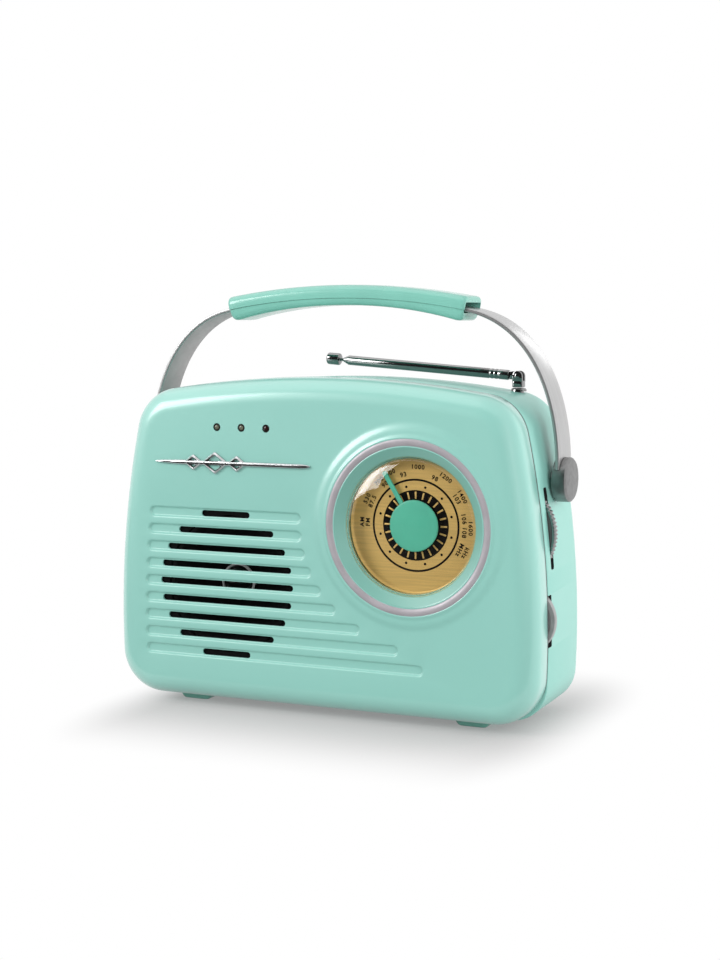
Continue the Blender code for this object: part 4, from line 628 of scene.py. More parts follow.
def case_outline(inset, low_radius):
    """The case seen from the front, inset evenly: flat bottom, bowed sides, arched top."""
    low_z = CASE_BOTTOM + low_radius
    reach = math.sqrt((SIDE_RADIUS - low_radius) ** 2 - (low_z - SIDE_CENTRE[1]) ** 2)
    low_corner = (SIDE_CENTRE[0] + reach, low_z)
    high_corner = meeting_point(SIDE_CENTRE, SIDE_RADIUS - TOP_CORNER, TOP_CENTRE, TOP_RADIUS - TOP_CORNER)
    low = bearing(SIDE_CENTRE, low_corner)
    high = bearing(SIDE_CENTRE, high_corner)
    crown = bearing(TOP_CENTRE, high_corner)
    right = arc(low_corner, low_radius - inset, -math.pi / 2, low, 14)
    right += arc(SIDE_CENTRE, SIDE_RADIUS - inset, low, high, 48)[1:]
    right += arc(high_corner, TOP_CORNER - inset, high, crown, 16)[1:]
    right += arc(TOP_CENTRE, TOP_RADIUS - inset, crown, math.pi / 2, 16)[1:]
    return right + [(-x, z) for x, z in reversed(right[:-1])]


def case_rings(sections, low_radius):
    return [[(x, FACE_Y + depth, z) for x, z in case_outline(inset, low_radius)]
            for depth, inset in sections]


def rim_sections(start, lip, towards):
    """The rounded rim of a shell at the seam, as (depth, inset). Towards is 1 for back and -1 for front."""
    return [(start + towards * along * lip, inset * lip)
            for along, inset in ((0.0, 1.0), (0.15, 0.45), (0.45, 0.15), (1.0, 0.0))]


def fillet_bends(steps=16):
    """Shares of a fillet's radius that lie ahead in depth and behind in inset, from its side to its face."""
    angles = [math.pi / 2 * i / steps for i in range(steps + 1)]
    return [(1 - math.sin(angle), 1 - math.cos(angle)) for angle in angles]


def half_width(z, depth):
    """Half the width of the rear shell at a height and depth."""
    drawn = REAR_DRAFT * max(0.0, depth - REAR_START) / (CASE_DEPTH - REAR_START)
    return SIDE_CENTRE[0] + math.sqrt((SIDE_RADIUS - drawn) ** 2 - (z - SIDE_CENTRE[1]) ** 2)


def groove_bars():
    """Left and right centre of the round ends and the height of each groove, from the top one down."""
    bars = []
    for i in range(SLOT_COUNT):
        z = SPEAKER_Z + ((SLOT_COUNT - 1) / 2 - i) * SLOT_PITCH
        left = -(half_width(z, 0.0) - GROOVE_SIDE_MARGIN)
        from_last = SLOT_COUNT - 1 - i
        if from_last < len(LOW_GROOVES_PAST_DIAL):
            right = DIAL_X + LOW_GROOVES_PAST_DIAL[from_last]
        else:
            away = min(abs(z - DIAL_Z), GROOVE_DIAL_RADIUS)
            right = DIAL_X - math.sqrt(GROOVE_DIAL_RADIUS ** 2 - away ** 2)
        bars.append((left + GROOVE_HALF, right - GROOVE_HALF, z))
    return bars


def slot_bars():
    bars = []
    for _, _, z in groove_bars():
        away = abs(z - SPEAKER_Z)
        reach = math.sqrt(max(0.0, SLOT_FIELD_RADIUS ** 2 - away ** 2))
        half = min(LONG_SLOT, max(SHORT_SLOT, reach)) - SLOT_HALF
        bars.append((SLOT_MIDDLE - half, SLOT_MIDDLE + half, z))
    return bars


def from_bar(bar, x, z):
    """Distance of a point from the middle line of a bar."""
    left, right, height = bar
    return math.hypot(max(left - x, x - right, 0.0), z - height)


# Distance outside the groove's edge in millimetres, with the share of its depth there
GROOVE_LIP = [(-1.08, 1.0), (-0.8, 0.97), (-0.55, 0.87), (-0.3, 0.7), (0.0, 0.36), (0.2, 0.17),
              (0.45, 0.05), (0.85, 0.0)]


def groove_share(distance):
    away = distance / MM
    if away <= GROOVE_LIP[0][0]:
        return 1.0
    for (near, high), (far, low) in zip(GROOVE_LIP, GROOVE_LIP[1:]):
        if away <= far:
            return high + (low - high) * (away - near) / (far - near)
    return 0.0


# The two steps round the dial, then the ring seat and bowl, as (radius, depth) in millimetres
STEPS_ROUND_DIAL = [(58.2, 0.0), (57.4, -0.03), (56.7, -0.1), (56.0, -0.23), (55.3, -0.43), (54.6, -0.66),
                    (53.9, -0.87), (53.2, -1.03), (52.4, -1.15), (51.6, -1.21), (50.9, -1.27),
                    (50.4, -1.37), (49.9, -1.56), (49.5, -1.76), (49.1, -1.9), (48.8, -1.95)]
RING_SEAT = [(48.8, -1.95), (48.5, -1.93), (48.28, -1.83), (48.2, -1.6), (48.2, -0.6), (44.4, -0.6),
             (44.4, -1.2), (44.25, -1.42), (44.0, -1.5), (43.75, -1.5)]
BOWL = [(43.75, -1.5), (43.5, -1.42), (43.2, -1.22), (41.2, 0.22), (39.2, 1.66), (38.6, 2.1), (38.25, 2.5),
        (38.06, 3.1), (38.04, 4.0), (38.04, 5.2), (41.0, 5.2), (41.0, 11.0), (43.5, 11.0), (43.5, 3.1),
        (53.0, 2.5)]


def step_depth(x, z):
    """How far the steps round the dial stand in front of the face."""
    radius = max(math.hypot(x - DIAL_X, z - DIAL_Z) / MM, STEPS_ROUND_DIAL[-1][0])
    for (outer, low), (inner, high) in zip(STEPS_ROUND_DIAL, STEPS_ROUND_DIAL[1:]):
        if inner <= radius <= outer:
            return (low + (high - low) * (outer - radius) / (outer - inner)) * MM
    return 0.0


def step_lines(hold):
    """Circles that carry the steps, cut short where they would leave the flat of the face."""
    lines = []
    for radius, _ in STEPS_ROUND_DIAL[:-1]:
        run = []
        for x, z in circle((DIAL_X, DIAL_Z), radius * MM, DIAL_SIDES):
            if x < half_width(z, 0.0) - hold - 0.5 * MM:
                run.append((x, z))
            elif run:
                lines.append(run)
                run = []
        lines.append(run if len(run) < DIAL_SIDES else run + run[:1])
    return [line for line in lines if len(line) > 1]


def front_form(case):
    form = Form()
    sections = rim_sections(FRONT_END, case.edge_round, -1)
    inside = [(FRONT_END, WALL)]
    small = FRONT_FILLET - WALL
    for before, across in fillet_bends():
        sections.append((FRONT_FILLET * before, FRONT_FILLET * across))
        inside.append((WALL + small * before, WALL + small * across))
    hold = FRONT_FILLET + FACE_HOLD
    sections.append((0.0, hold))
    outside = case_rings(sections, FRONT_LOW_CORNER)
    form.loft([[(x, y + step_depth(x, z), z) for x, y, z in ring] for ring in outside])
    form.loft(case_rings(inside, FRONT_LOW_CORNER))
    form.loft(case_rings([sections[0], inside[0]], FRONT_LOW_CORNER))

    grooves = groove_bars()
    slots = slot_bars()
    lamps = lamp_places()
    slot_loops = [bar_outline(*bar, SLOT_HALF) for bar in slots]
    lamp_loops = [circle(place, LAMP_HOLE, SMALL_SIDES) for place in lamps]
    dial = (DIAL_X, DIAL_Z)
    crest = STEPS_ROUND_DIAL[-1][0] * MM

    def open_front(x, z, radius):
        if math.hypot(x - DIAL_X, z - DIAL_Z) < radius:
            return False
        if any(from_bar(bar, x, z) < SLOT_HALF for bar in slots):
            return False
        return all(math.hypot(x - place[0], z - place[1]) > LAMP_HOLE for place in lamps)

    def face_depth(x, z):
        share = max(groove_share(from_bar(bar, x, z) - GROOVE_HALF) for bar in grooves)
        return share * case.groove_depth + step_depth(x, z)

    loops = [case_outline(hold, FRONT_LOW_CORNER), circle(dial, crest, DIAL_SIDES)]
    for bar in grooves:
        loops += [bar_outline(*bar, GROOVE_HALF + away * MM) for away, _ in GROOVE_LIP]
    loops += [circle(place, LAMP_HOLE + 0.5 * MM, SMALL_SIDES) for place in lamps]
    loops += slot_loops + lamp_loops
    form.fill(loops, lambda x, z: open_front(x, z, crest * JUST_INSIDE), face_depth, step_lines(hold))
    back_loops = [case_outline(FRONT_FILLET, FRONT_LOW_CORNER)]
    back_loops += [circle(dial, SURROUND_BACK_RADIUS, DIAL_SIDES)] + slot_loops + lamp_loops
    form.fill(back_loops, lambda x, z: open_front(x, z, SURROUND_BACK_RADIUS * JUST_INSIDE),
              lambda x, z: WALL)
    for loop in slot_loops:
        form.wall(loop, case.groove_depth, WALL)
    for loop in lamp_loops:
        form.wall(loop, 0.0, WALL)
    # The ring seat takes the case mint. The bowl takes the second finish, a darker mint that is painted shade
    # in the hollow round the lens.
    for number, profile in enumerate((RING_SEAT, BOWL)):
        form.finish = number
        form.turn(sunk(profile), DIAL_SIDES, dial_place(FACE_Y))
    return form


# Screw posts and wells, with ends as heights above the face, so that lower is further back
SCREW_PLACES = [(side * x, z) for x, z in ((74 * MM, 165 * MM), (100 * MM, 34 * MM)) for side in (-1, 1)]
POST_RADIUS = 6.5 * MM
POST_ENDS = (-90.5 * MM, -45.3 * MM)
WELL_RADIUS = 4.1 * MM
WELL_FLOOR = -50.3 * MM
SCREW_HOLE = 1.6 * MM
SCREW_END = -40 * MM
PIN_HOLE = 4.3 * MM
BASE_HOLE = 3.2 * MM
OPENING_REACH = 15 * MM
DOOR_LOW, DOOR_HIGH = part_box("battery_door")
DOOR_MIDDLE = ((DOOR_LOW.x + DOOR_HIGH.x) / 2, (DOOR_LOW.z + DOOR_HIGH.z) / 2)
DOOR_HALF = ((DOOR_HIGH.x - DOOR_LOW.x) / 2, (DOOR_HIGH.z - DOOR_LOW.z) / 2)
DOOR_PLACE = back_at(DOOR_MIDDLE[0], DOOR_HIGH.y, DOOR_MIDDLE[1])
DOOR_BARS = 5


def rear_form(case):
    form = Form()
    span = CASE_DEPTH - REAR_START
    sections = rim_sections(REAR_START, case.edge_round, 1)
    inside = [(REAR_START, WALL)]
    small = BACK_FILLET - WALL
    for before, across in fillet_bends():
        draft = REAR_DRAFT * (1 - BACK_FILLET * before / span)
        sections.append((CASE_DEPTH - BACK_FILLET * before, draft + BACK_FILLET * across))
        inside.append((CASE_DEPTH - WALL - small * before, draft + WALL + small * across))
    sections.append((CASE_DEPTH, REAR_DRAFT + BACK_FILLET + FACE_HOLD))
    form.loft(case_rings(sections, REAR_LOW_CORNER), end_cap=True)
    form.loft(case_rings(inside, REAR_LOW_CORNER), end_cap=True)
    form.loft(case_rings([sections[0], inside[0]], REAR_LOW_CORNER))
    return form


def rear_posts():
    posts = Form()
    for x, z in SCREW_PLACES:
        outline = circle((0.0, 0.0), POST_RADIUS, SMALL_SIDES)
        posts.prism(outline, *POST_ENDS, 0.2 * MM, front_at(x, FACE_Y, z))
    return posts


def wheel_opening(cuts, node, depth, room, half_depth, corner, rise=0.0):
    """A slot in the right-hand side for the part of a wheel that stands out of it."""
    low, high, middle = node_box(node)
    radius = (high.z - low.z) / 2
    side = half_width(middle.z, depth)
    proud = high.x - side
    chord = math.sqrt(radius ** 2 - (radius - proud - WALL) ** 2) + room
    place = Matrix.Translation((side, FACE_Y + depth, middle.z + rise)) @ FACING_RIGHT
    cuts.block(rounded_rectangle(chord, half_depth, corner), -OPENING_REACH, OPENING_REACH, place)


def rear_cuts():
    """What is cut out of the rear shell. The walls of the wheel openings have the second finish, a black that
    is painted shade inside those openings.
    """
    cuts = Form()
    behind = -(CASE_DEPTH + 4 * MM)
    within = -(CASE_DEPTH - 3 * WALL)
    well = [(0.0, behind), (WELL_RADIUS, behind), (WELL_RADIUS, WELL_FLOOR), (SCREW_HOLE, WELL_FLOOR),
            (SCREW_HOLE, SCREW_END), (0.0, SCREW_END)]
    for x, z in SCREW_PLACES:
        cuts.turn(well, SMALL_SIDES, front_at(x, FACE_Y, z))
    outlines = [rounded_rectangle(DOOR_HALF[0] + GAP, DOOR_HALF[1] + GAP, 1.6 * MM, DOOR_MIDDLE)]
    for node, slide, corner in (("mains_inlet", 0.0, 2.3 * MM), ("usb_socket", 0.0, 0.9 * MM),
                                ("band_slider", 4 * MM, 0.8 * MM)):
        low, high, middle = node_box(node)
        outlines.append(rounded_rectangle((high.x - low.x) / 2 + slide + GAP, (high.z - low.z) / 2 + GAP,
                                          corner, (middle.x, middle.z)))
    for node in ("aux_socket", "source_button"):
        low, high, middle = node_box(node)
        outlines.append(circle((middle.x, middle.z), (high.z - low.z) / 2 + GAP, 40))
    for outline in outlines:
        cuts.block(outline, behind, within, front_at(0.0, FACE_Y, 0.0))

    # Second finish on the walls of the wheel openings: black as painted shade inside the openings.
    cuts.finish = 1
    low, high, wheel = node_box("tuning_wheel")
    rise = (high.z - low.z) / 2 * (wheel.z - SIDE_CENTRE[1]) / SIDE_RADIUS
    wheel_opening(cuts, "tuning_wheel", wheel.y - FACE_Y, 3.6 * MM, (high.y - low.y) / 2 + 0.6 * MM,
                  1.2 * MM, rise)
    wheel_opening(cuts, "volume_wheel", REAR_START, 0.6 * MM, 5.6 * MM, 0.9 * MM)

    cuts.finish = 0
    pin = circle((0.0, 0.0), PIN_HOLE, SMALL_SIDES)
    for sign in (-1, 1):
        cuts.block(pin, sign * 100 * MM, sign * 150 * MM,
                   Matrix.Translation((0.0, PIVOT_Y, PIVOT_Z)) @ FACING_RIGHT)
    base = node_middle("antenna_base")
    cuts.block(circle((base.x, base.y), BASE_HOLE, SMALL_SIDES), CASE_TOP - 22 * MM, CASE_TOP + 8 * MM)
    return cuts


# Lamps and ornament

LAMP_NODES = ("lamp_left", "lamp_middle", "lamp_right")
LAMP_HOLE = 2.3 * MM

# Ornament: bar and lozenge ridge cut across, as (height or inset, distance in front of the face) in
# millimetres, the taper of the bar's ends, and the lozenges as (place from the middle one, size)
BAR_SECTION = [(-1.3, 0.3), (-1.3, 0.9), (-1.1, 1.35), (-0.65, 1.72), (0.0, 1.86), (0.65, 1.72),
               (1.1, 1.35), (1.3, 0.9), (1.3, 0.3)]
RIDGE_SECTION = [(0.0, 0.3), (0.0, 0.8), (0.3, 1.25), (0.85, 1.86), (1.4, 1.25), (1.7, 0.8), (1.7, 0.3)]
LEFT_TAPER = 16 * MM
RIGHT_TAPER = 4 * MM
LOZENGES = ((-14 * MM, 0.72), (0.0, 1.0), (14 * MM, 0.72))
LOZENGE_HALF = (9 * MM, 6.5 * MM)
LOZENGE_MIDDLE = 38.5 * MM


def lamp_places():
    return [(node_middle(node).x, node_middle(node).z) for node in LAMP_NODES]


def lamp_form():
    form = Form()
    rim = [(1.25, -2.0), (1.35, -0.25), (1.55, -0.05), (2.0, -0.05), (2.2, -0.25), (2.22, -2.8),
           (2.6, -2.8), (2.6, -4.0), (1.75, -4.0), (1.75, -7.0), (0.0, -7.0)]
    glass = [(0.0, 0.35), (0.5, 0.32), (0.95, 0.2), (1.25, 0.0), (1.25, -2.0)]
    for number, profile in enumerate((rim, glass)):
        form.finish = number
        form.turn(scaled(profile), SMALL_SIDES)
    return form


def ornament_form():
    """A slim half-round bar with tapered ends and three open lozenges with a ridge all round."""
    form = Form()
    low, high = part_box("front_ornament")
    middle_z = (low.z + high.z) / 2
    length = high.x - low.x
    rings = []
    steps = 40
    for i in range(steps + 1):
        along = i / steps
        from_end = min(along, 1 - along) * length
        taper = LEFT_TAPER if along < 0.5 else RIGHT_TAPER
        share = min(1.0, 0.3 + 0.7 * math.sqrt(from_end / taper))
        x = low.x + along * length
        rings.append([(x, FACE_Y - (0.3 + (y - 0.3) * (0.4 + 0.6 * share)) * MM, middle_z + z * share * MM)
                      for z, y in BAR_SECTION])
    form.loft(rings, start_cap=True, end_cap=True)
    centre = low.x + LOZENGE_MIDDLE
    for shift, size in LOZENGES:
        rings = []
        for inset, height in RIDGE_SECTION:
            half_x = LOZENGE_HALF[0] * size - inset * MM * 1.71
            half_z = LOZENGE_HALF[1] * size - inset * MM * 1.23
            corners = [(half_x, 0.0), (0.0, half_z), (-half_x, 0.0), (0.0, -half_z)]
            ring = []
            for k, corner in enumerate(corners):
                after = Vector(corners[(k + 1) % 4])
                for share in (0.06, 0.5, 0.94):
                    point = Vector(corner).lerp(after, share)
                    ring.append((centre + shift + point.x, FACE_Y - height * MM, middle_z + point.y))
            rings.append(ring)
        form.loft(rings, wrap=True)
    return form


# Dial pieces

def dial_place(y):
    return front_at(DIAL_X, y, DIAL_Z)


def ring_form():
    profile = [(48.5, 0.9), (48.5, 1.5), (48.3, 1.75), (48.0, 1.95), (47.5, 2.15), (46.8, 2.25),
               (45.9, 2.15), (45.2, 1.95), (44.7, 1.7), (44.35, 1.42), (44.1, 1.1), (44.1, 0.9)]
    return turned(scaled(profile), DIAL_SIDES, dial_place(FACE_Y), wrap=True)


def dome_profile(radius, base, rise, steps):
    points = []
    for i in range(steps + 1):
        angle = math.pi / 2 * i / steps
        points.append((radius * math.sin(angle) * MM, (rise * math.cos(angle) - base) * MM))
    return points


def lens_form():
    outside = dome_profile(38.0, 3.0, 7.0, 40)
    inside = dome_profile(37.2, 3.8, 7.0, 40)
    flange = scaled([(38.0, -5.5), (40.7, -5.5), (40.7, -7.1), (37.2, -7.1)])
    return turned(outside + flange + inside[::-1], LENS_SIDES, dial_place(FACE_Y))


def plate_form():
    """The dial plate, with a rim that rises to the lens all round."""
    profile = [(1.8, 0.0), (10.0, 0.0), (20.0, 0.0), (30.0, 0.0), (36.6, 0.0), (37.1, 0.1), (37.6, 0.4),
               (38.4, 1.4), (39.6, 3.0), (40.4, 3.9), (40.7, 3.9), (40.7, 0.0), (PLATE_RADIUS / MM, -0.1),
               (PLATE_RADIUS / MM, -1.0), (1.8, -1.0)]
    return turned(scaled(profile), PLATE_SIDES, dial_place(PLATE_Y), wrap=True)


def on_dial(angle, radius):
    """A place on the dial, with the angle in degrees to the right of upright."""
    turn = math.radians(angle)
    return radius * MM * math.sin(turn), radius * MM * math.cos(turn)


FM_ROW = (("87.5", -65), ("90", -40), ("93", -15), ("98", 23), ("103", 57), ("106", 80), ("108", 95),
          ("MHz", 115))
AM_ROW = (("530", -65), ("700", -43), ("800", -28), ("1000", 2), ("1200", 33), ("1400", 58), ("1600", 90),
          ("kHz", 115))
BAND_NAMES = (("AM", -89, 32.0), ("FM", -89, 28.5))

# Printed scale and pointer, in millimetres from the middle of the dial
BLACK_RING = (12.6, 19.4)
THIN_CIRCLE = (24.55, 25.65)
DOTS_AT = 21.7
STROKES_AT = 16.6
FM_AT = 28.5
AM_AT = 32.1
HUB_RADIUS = 14.2
NEEDLE_END = 34.4
DOT_COUNT = 12
STROKE_COUNT = 24
PRINT = 0.06 * MM
PRINT_EDGE = 0.01 * MM


def figure_mesh(text, size):
    """A printed figure as a thin raised mesh."""
    curve = bpy.data.curves.new("figure", "FONT")
    curve.body = text
    curve.size = size
    curve.align_x = "CENTER"
    curve.align_y = "CENTER"
    curve.extrude = PRINT / 2
    curve.offset = 0.1 * MM
    curve.space_character = 1.2
    curve.resolution_u = 4
    item = bpy.data.objects.new("figure", curve)
    bpy.context.scene.collection.objects.link(item)
    bpy.context.view_layer.update()
    mesh = bpy.data.meshes.new_from_object(item.evaluated_get(bpy.context.evaluated_depsgraph_get()))
    bpy.data.objects.remove(item, do_unlink=True)
    bpy.data.curves.remove(curve)
    return mesh


def print_ring(form, inner, outer):
    profile = [(inner * MM, 0.0), (inner * MM, PRINT), (outer * MM, PRINT), (outer * MM, 0.0)]
    form.turn(profile, DIAL_SIDES, dial_place(PLATE_Y), wrap=True)


def scale_form(dial):
    """Black ring with gold strokes, dots, a circle and two rows of figures."""
    form = Form()
    print_ring(form, *BLACK_RING)
    print_ring(form, *THIN_CIRCLE)
    place = dial_place(PLATE_Y)
    for i in range(DOT_COUNT):
        dot = circle(on_dial(360 / DOT_COUNT * (i + 0.5), DOTS_AT), 0.72 * MM, 20)
        form.prism(dot, 0.0, PRINT, PRINT_EDGE, place)
    rows = [(text, angle, FM_AT) for text, angle in FM_ROW]
    rows += [(text, angle, AM_AT) for text, angle in AM_ROW] + list(BAND_NAMES)
    for text, angle, radius in rows:
        mesh = figure_mesh(text, dial.figure_height)
        x, z = on_dial(angle, radius)
        turn = Matrix.Translation((x, z, PRINT / 2)) @ Matrix.Rotation(-math.radians(angle), 4, "Z")
        form.add([vert.co for vert in mesh.vertices], [tuple(face.vertices) for face in mesh.polygons],
                 place @ turn)
        bpy.data.meshes.remove(mesh)
    form.finish = 1
    stroke = rounded_rectangle(0.48 * MM, 1.95 * MM, 0.1 * MM, steps=2)
    outwards = Matrix.Translation((0.0, STROKES_AT * MM, 0.0))
    for i in range(STROKE_COUNT):
        turn = Matrix.Rotation(-math.radians(360 / STROKE_COUNT * i), 4, "Z")
        form.prism(stroke, PRINT, 2 * PRINT, PRINT_EDGE, place @ turn @ outwards)
    return form


def pointer_form(dial):
    form = Form()
    place = dial_place(POINTER_Y)
    hub = [(0.0, 0.0), (13.3, 0.0), (13.8, -0.08), (14.1, -0.3), (HUB_RADIUS, -0.6), (HUB_RADIUS, -1.1),
           (13.9, -1.5), (13.4, -1.6), (0.0, -1.6)]
    form.turn(scaled(hub), DISC_SIDES, place)
    half = dial.needle_width / 2
    start = (HUB_RADIUS - 0.6) * MM
    end = NEEDLE_END * MM
    outline = [(half, start), (half, end - half)]
    outline += arc((0.0, end - half), half, 0.0, math.pi, 10)[1:]
    outline += [(-half, start)]
    turn = Matrix.Rotation(dial.needle_rest, 4, "Z")
    form.prism(outline, -1.5 * MM, -0.15 * MM, 0.3 * MM, place @ turn)
    return form


# Speaker pieces

def speaker_place():
    return front_at(SPEAKER_X, FACE_Y, SPEAKER_Z)


def cone_form():
    """A ribbed paper cone with a rolled edge."""
    front = [(38.7, 3.5), (38.2, 3.4), (36.6, 3.45), (35.2, 4.6)]
    steps = 24
    for i in range(steps + 1):
        share = i / steps
        radius = 34.6 + (9.6 - 34.6) * share
        wave = 0.16 * math.sin(share * math.pi * 14)
        front.append((radius, 4.9 + (15.2 - 4.9) * share + wave))
    back = [(radius, depth + 0.9) for radius, depth in reversed(front)]
    return turned(sunk(front + back), CONE_SIDES, speaker_place(), wrap=True)


def dust_cap_form():
    """A dome with a pale ring round its edge."""
    form = Form()
    outside = []
    steps = 14
    for i in range(steps + 1):
        angle = math.pi / 2 * i / steps
        outside.append((9.3 * math.sin(angle), 13.5 - 4.0 * math.cos(angle)))
    form.turn(sunk(outside + [(9.3, 14.2), (0.0, 14.2)]), PART_SIDES, speaker_place())
    form.finish = 1
    ring = [(9.4, 13.9), (9.4, 13.0), (9.75, 12.4), (10.25, 12.4), (10.6, 13.0), (10.6, 13.9)]
    form.turn(sunk(ring), PART_SIDES, speaker_place(), wrap=True)
    return form


# Handle pieces

def strap_middle():
    """Middle line of the strap, from the top of the arch down to the right-hand drum."""
    end_angle = math.asin(GRIP_HALF / STRAP_RADIUS)
    shoulder = Vector((GRIP_HALF, GRIP_CENTRE_Z + STRAP_RADIUS * math.cos(end_angle)))
    foot = Vector((STRAP_FOOT_X, STRAP_FOOT_Z))
    first = shoulder + Vector((math.cos(end_angle), -math.sin(end_angle))) * STRAP_SHOULDER_PULL
    second = foot + Vector((0.0, STRAP_FOOT_PULL))
    points = []
    under_grip = 14
    for i in range(under_grip):
        angle = end_angle * i / under_grip
        points.append(Vector((STRAP_RADIUS * math.sin(angle),
                              GRIP_CENTRE_Z + STRAP_RADIUS * math.cos(angle))))
    steps = 36
    for i in range(steps + 1):
        t = i / steps
        points.append(shoulder * (1 - t) ** 3 + first * 3 * t * (1 - t) ** 2
                      + second * 3 * t * t * (1 - t) + foot * t ** 3)
    return points


def strap_form(handle):
    """The strap. The flat that faces the case has the second finish, a darker satin grey that is painted
    shade on that inner face.
    """
    form = Form()
    right = strap_middle()
    line = [Vector((-p.x, p.y)) for p in reversed(right[1:])] + right
    section = rounded_rectangle(STRAP_HALF_WIDTH, handle.strap_half, 0.6 * MM, steps=4)
    rings = []
    for i, point in enumerate(line):
        along = (line[min(i + 1, len(line) - 1)] - line[max(i - 1, 0)]).normalized()
        across = Vector((-along.y, along.x))
        rings.append([(point.x + across.x * off, PIVOT_Y + wide, point.y + across.y * off)
                      for wide, off in section])
    form.loft(rings, start_cap=True, end_cap=True)
    count = len(section)
    sums = [section[i][1] + section[(i + 1) % count][1] for i in range(count)]
    inside = {i for i in range(count) if sums[i] < -1.99 * handle.strap_half}
    form.finishes = [int(face % count in inside) for face in range(len(form.faces))]
    return form


def drum_form():
    thick = DRUM_THICKNESS / MM
    profile = [(0.0, thick), (10.9, thick), (11.15, thick - 0.08), (11.9, thick - 0.75),
               (12.2, thick - 1.0), (12.3, thick - 1.4), (12.3, 0.5), (12.15, 0.15), (11.8, 0.0), (4.3, 0.0),
               (4.3, 3.8), (0.0, 3.8)]
    return turned(scaled(profile), DISC_SIDES)


def drum_channel():
    """The mouth in a drum that takes the end of the strap."""
    form = Form()
    from_face = STRAP_FOOT_X - DRUM_FACE
    outline = rounded_rectangle(1.35 * MM, STRAP_HALF_WIDTH + GAP, 0.5 * MM, (from_face, 0.0))
    form.block(outline, STRAP_FOOT_Z - PIVOT_Z - GAP, 30 * MM)
    return form


def grip_section(upper, drawn, flare):
    """Half of the grip cut across: (across, height under the top of the arch), in millimetres."""
    if upper:
        corner = 4.6
        half = 13.5 - drawn
        top = -drawn
        outer = [(half, -7.45), (half, -6.2)]
        outer += arc((13.5 - corner, -corner), corner - drawn, 0.0, math.pi / 2, 8)
        outer += [(4.0, top + 0.12), (0.0, top + 0.18), (-4.0, top + 0.12)]
        outer += arc((corner - 13.5, -corner), corner - drawn, math.pi / 2, math.pi, 8)
        outer += [(-half, -6.2), (-half, -7.45)]
        channel = [(-11.7, -7.45), (-11.7, -4.2), (-11.0, -3.4), (11.0, -3.4), (11.7, -4.2), (11.7, -7.45)]
        return outer + channel
    corner = 3.6
    half = 12.9 - 0.5 * drawn
    low = -11.6 - flare + drawn
    outer = [(-half, -7.55), (-half, low + corner)]
    outer += arc((corner - half, low + corner), corner, math.pi, 1.5 * math.pi, 8)[1:]
    outer += arc((half - corner, low + corner), corner, 1.5 * math.pi, 2 * math.pi, 8)
    outer += [(half, -7.55)]
    channel = [(11.4, -7.55), (11.4, -9.0), (11.1, -9.35), (-11.1, -9.35), (-11.4, -9.0), (-11.4, -7.55)]
    return outer + channel


# Round of the grip's ends, as (distance from the end, how far it is drawn in) in millimetres
UPPER_GRIP_END = ((0.0, 1.5), (0.18, 0.95), (0.6, 0.45), (1.2, 0.14), (2.2, 0.0))
LOWER_GRIP_END = ((0.0, 2.4), (0.4, 1.6), (1.2, 0.85), (2.4, 0.32), (3.8, 0.08), (5.0, 0.0))


def grip_form(upper):
    form = Form()
    reach = GRIP_HALF / STRAP_RADIUS - (0.0 if upper else 0.4 * MM / STRAP_RADIUS)
    ends = UPPER_GRIP_END if upper else LOWER_GRIP_END
    stations = [(-reach + from_end * MM / STRAP_RADIUS, drawn) for from_end, drawn in ends]
    inner = stations[-1][0]
    count = 28
    stations += [(inner + (-2 * inner) * i / count, 0.0) for i in range(1, count)]
    stations += [(-angle, drawn) for angle, drawn in reversed(stations[:len(ends)])]
    rings = []
    for angle, drawn in stations:
        ring = []
        flare = GRIP_FLARE * (abs(angle) / reach) ** GRIP_FLARE_POWER
        for across, height in grip_section(upper, drawn, flare):
            radius = GRIP_RADIUS + height * MM
            ring.append((radius * math.sin(angle), PIVOT_Y + across * MM,
                         GRIP_CENTRE_Z + radius * math.cos(angle)))
        rings.append(ring)
    form.loft(rings, start_cap=True, end_cap=True)
    return form


# Side wheels

def tuning_wheel_form(handle):
    form = Form()
    low, high, middle = node_box("tuning_wheel")
    radius = (high.z - low.z) / 2
    rim = []
    steps = handle.knurls * 6
    for i in range(steps):
        angle = 2 * math.pi * i / steps
        ridge = 0.5 + 0.5 * math.cos(angle * handle.knurls)
        reach = radius - 0.75 * MM * (1 - ridge)
        rim.append((reach * math.cos(angle), reach * math.sin(angle)))
    half = (high.y - low.y) / 2
    place = front_at(*middle)
    bore = circle((0.0, 0.0), 2.8 * MM, steps)
    face = circle((0.0, 0.0), radius - 2.2 * MM, steps)
    step_in = circle((0.0, 0.0), radius - 2.6 * MM, steps)
    front = [(bore, -half), (face, -half)]
    bevel, edge = shrunk(rim, 0.55 * MM), shrunk(rim, 0.1 * MM)
    knurled = [(face, -half), (bevel, -half), (edge, -half + 0.45 * MM), (rim, -half + 0.8 * MM),
               (rim, half - 0.8 * MM), (edge, half - 0.45 * MM), (bevel, half), (face, half)]
    back = [(face, half), (step_in, half - 0.35 * MM), (bore, half - 0.35 * MM), (bore, -half)]
    for number, sections in ((0, front), (1, knurled), (0, back)):
        form.finish = number
        form.loft([[(x, y, z) for x, y in outline] for outline, z in sections], place)
    return form


def volume_wheel_form():
    low, high, middle = node_box("volume_wheel")
    radius = (high.z - low.z) / 2 / MM
    profile = [(0.0, 0.0), (radius - 2.6, 0.0), (radius - 2.2, 0.15), (radius - 1.8, 0.0),
               (radius - 0.7, 0.0), (radius - 0.25, -0.18), (radius - 0.03, -0.6), (radius, -1.2),
               (radius, -3.2), (radius - 0.03, -3.8), (radius - 0.25, -4.22), (radius - 0.7, -4.4),
               (2.5, -4.4), (2.5, -12.4), (0.0, -12.4)]
    return turned(scaled(profile), WHEEL_SIDES, front_at(middle.x, low.y, middle.z))


# Antenna pieces

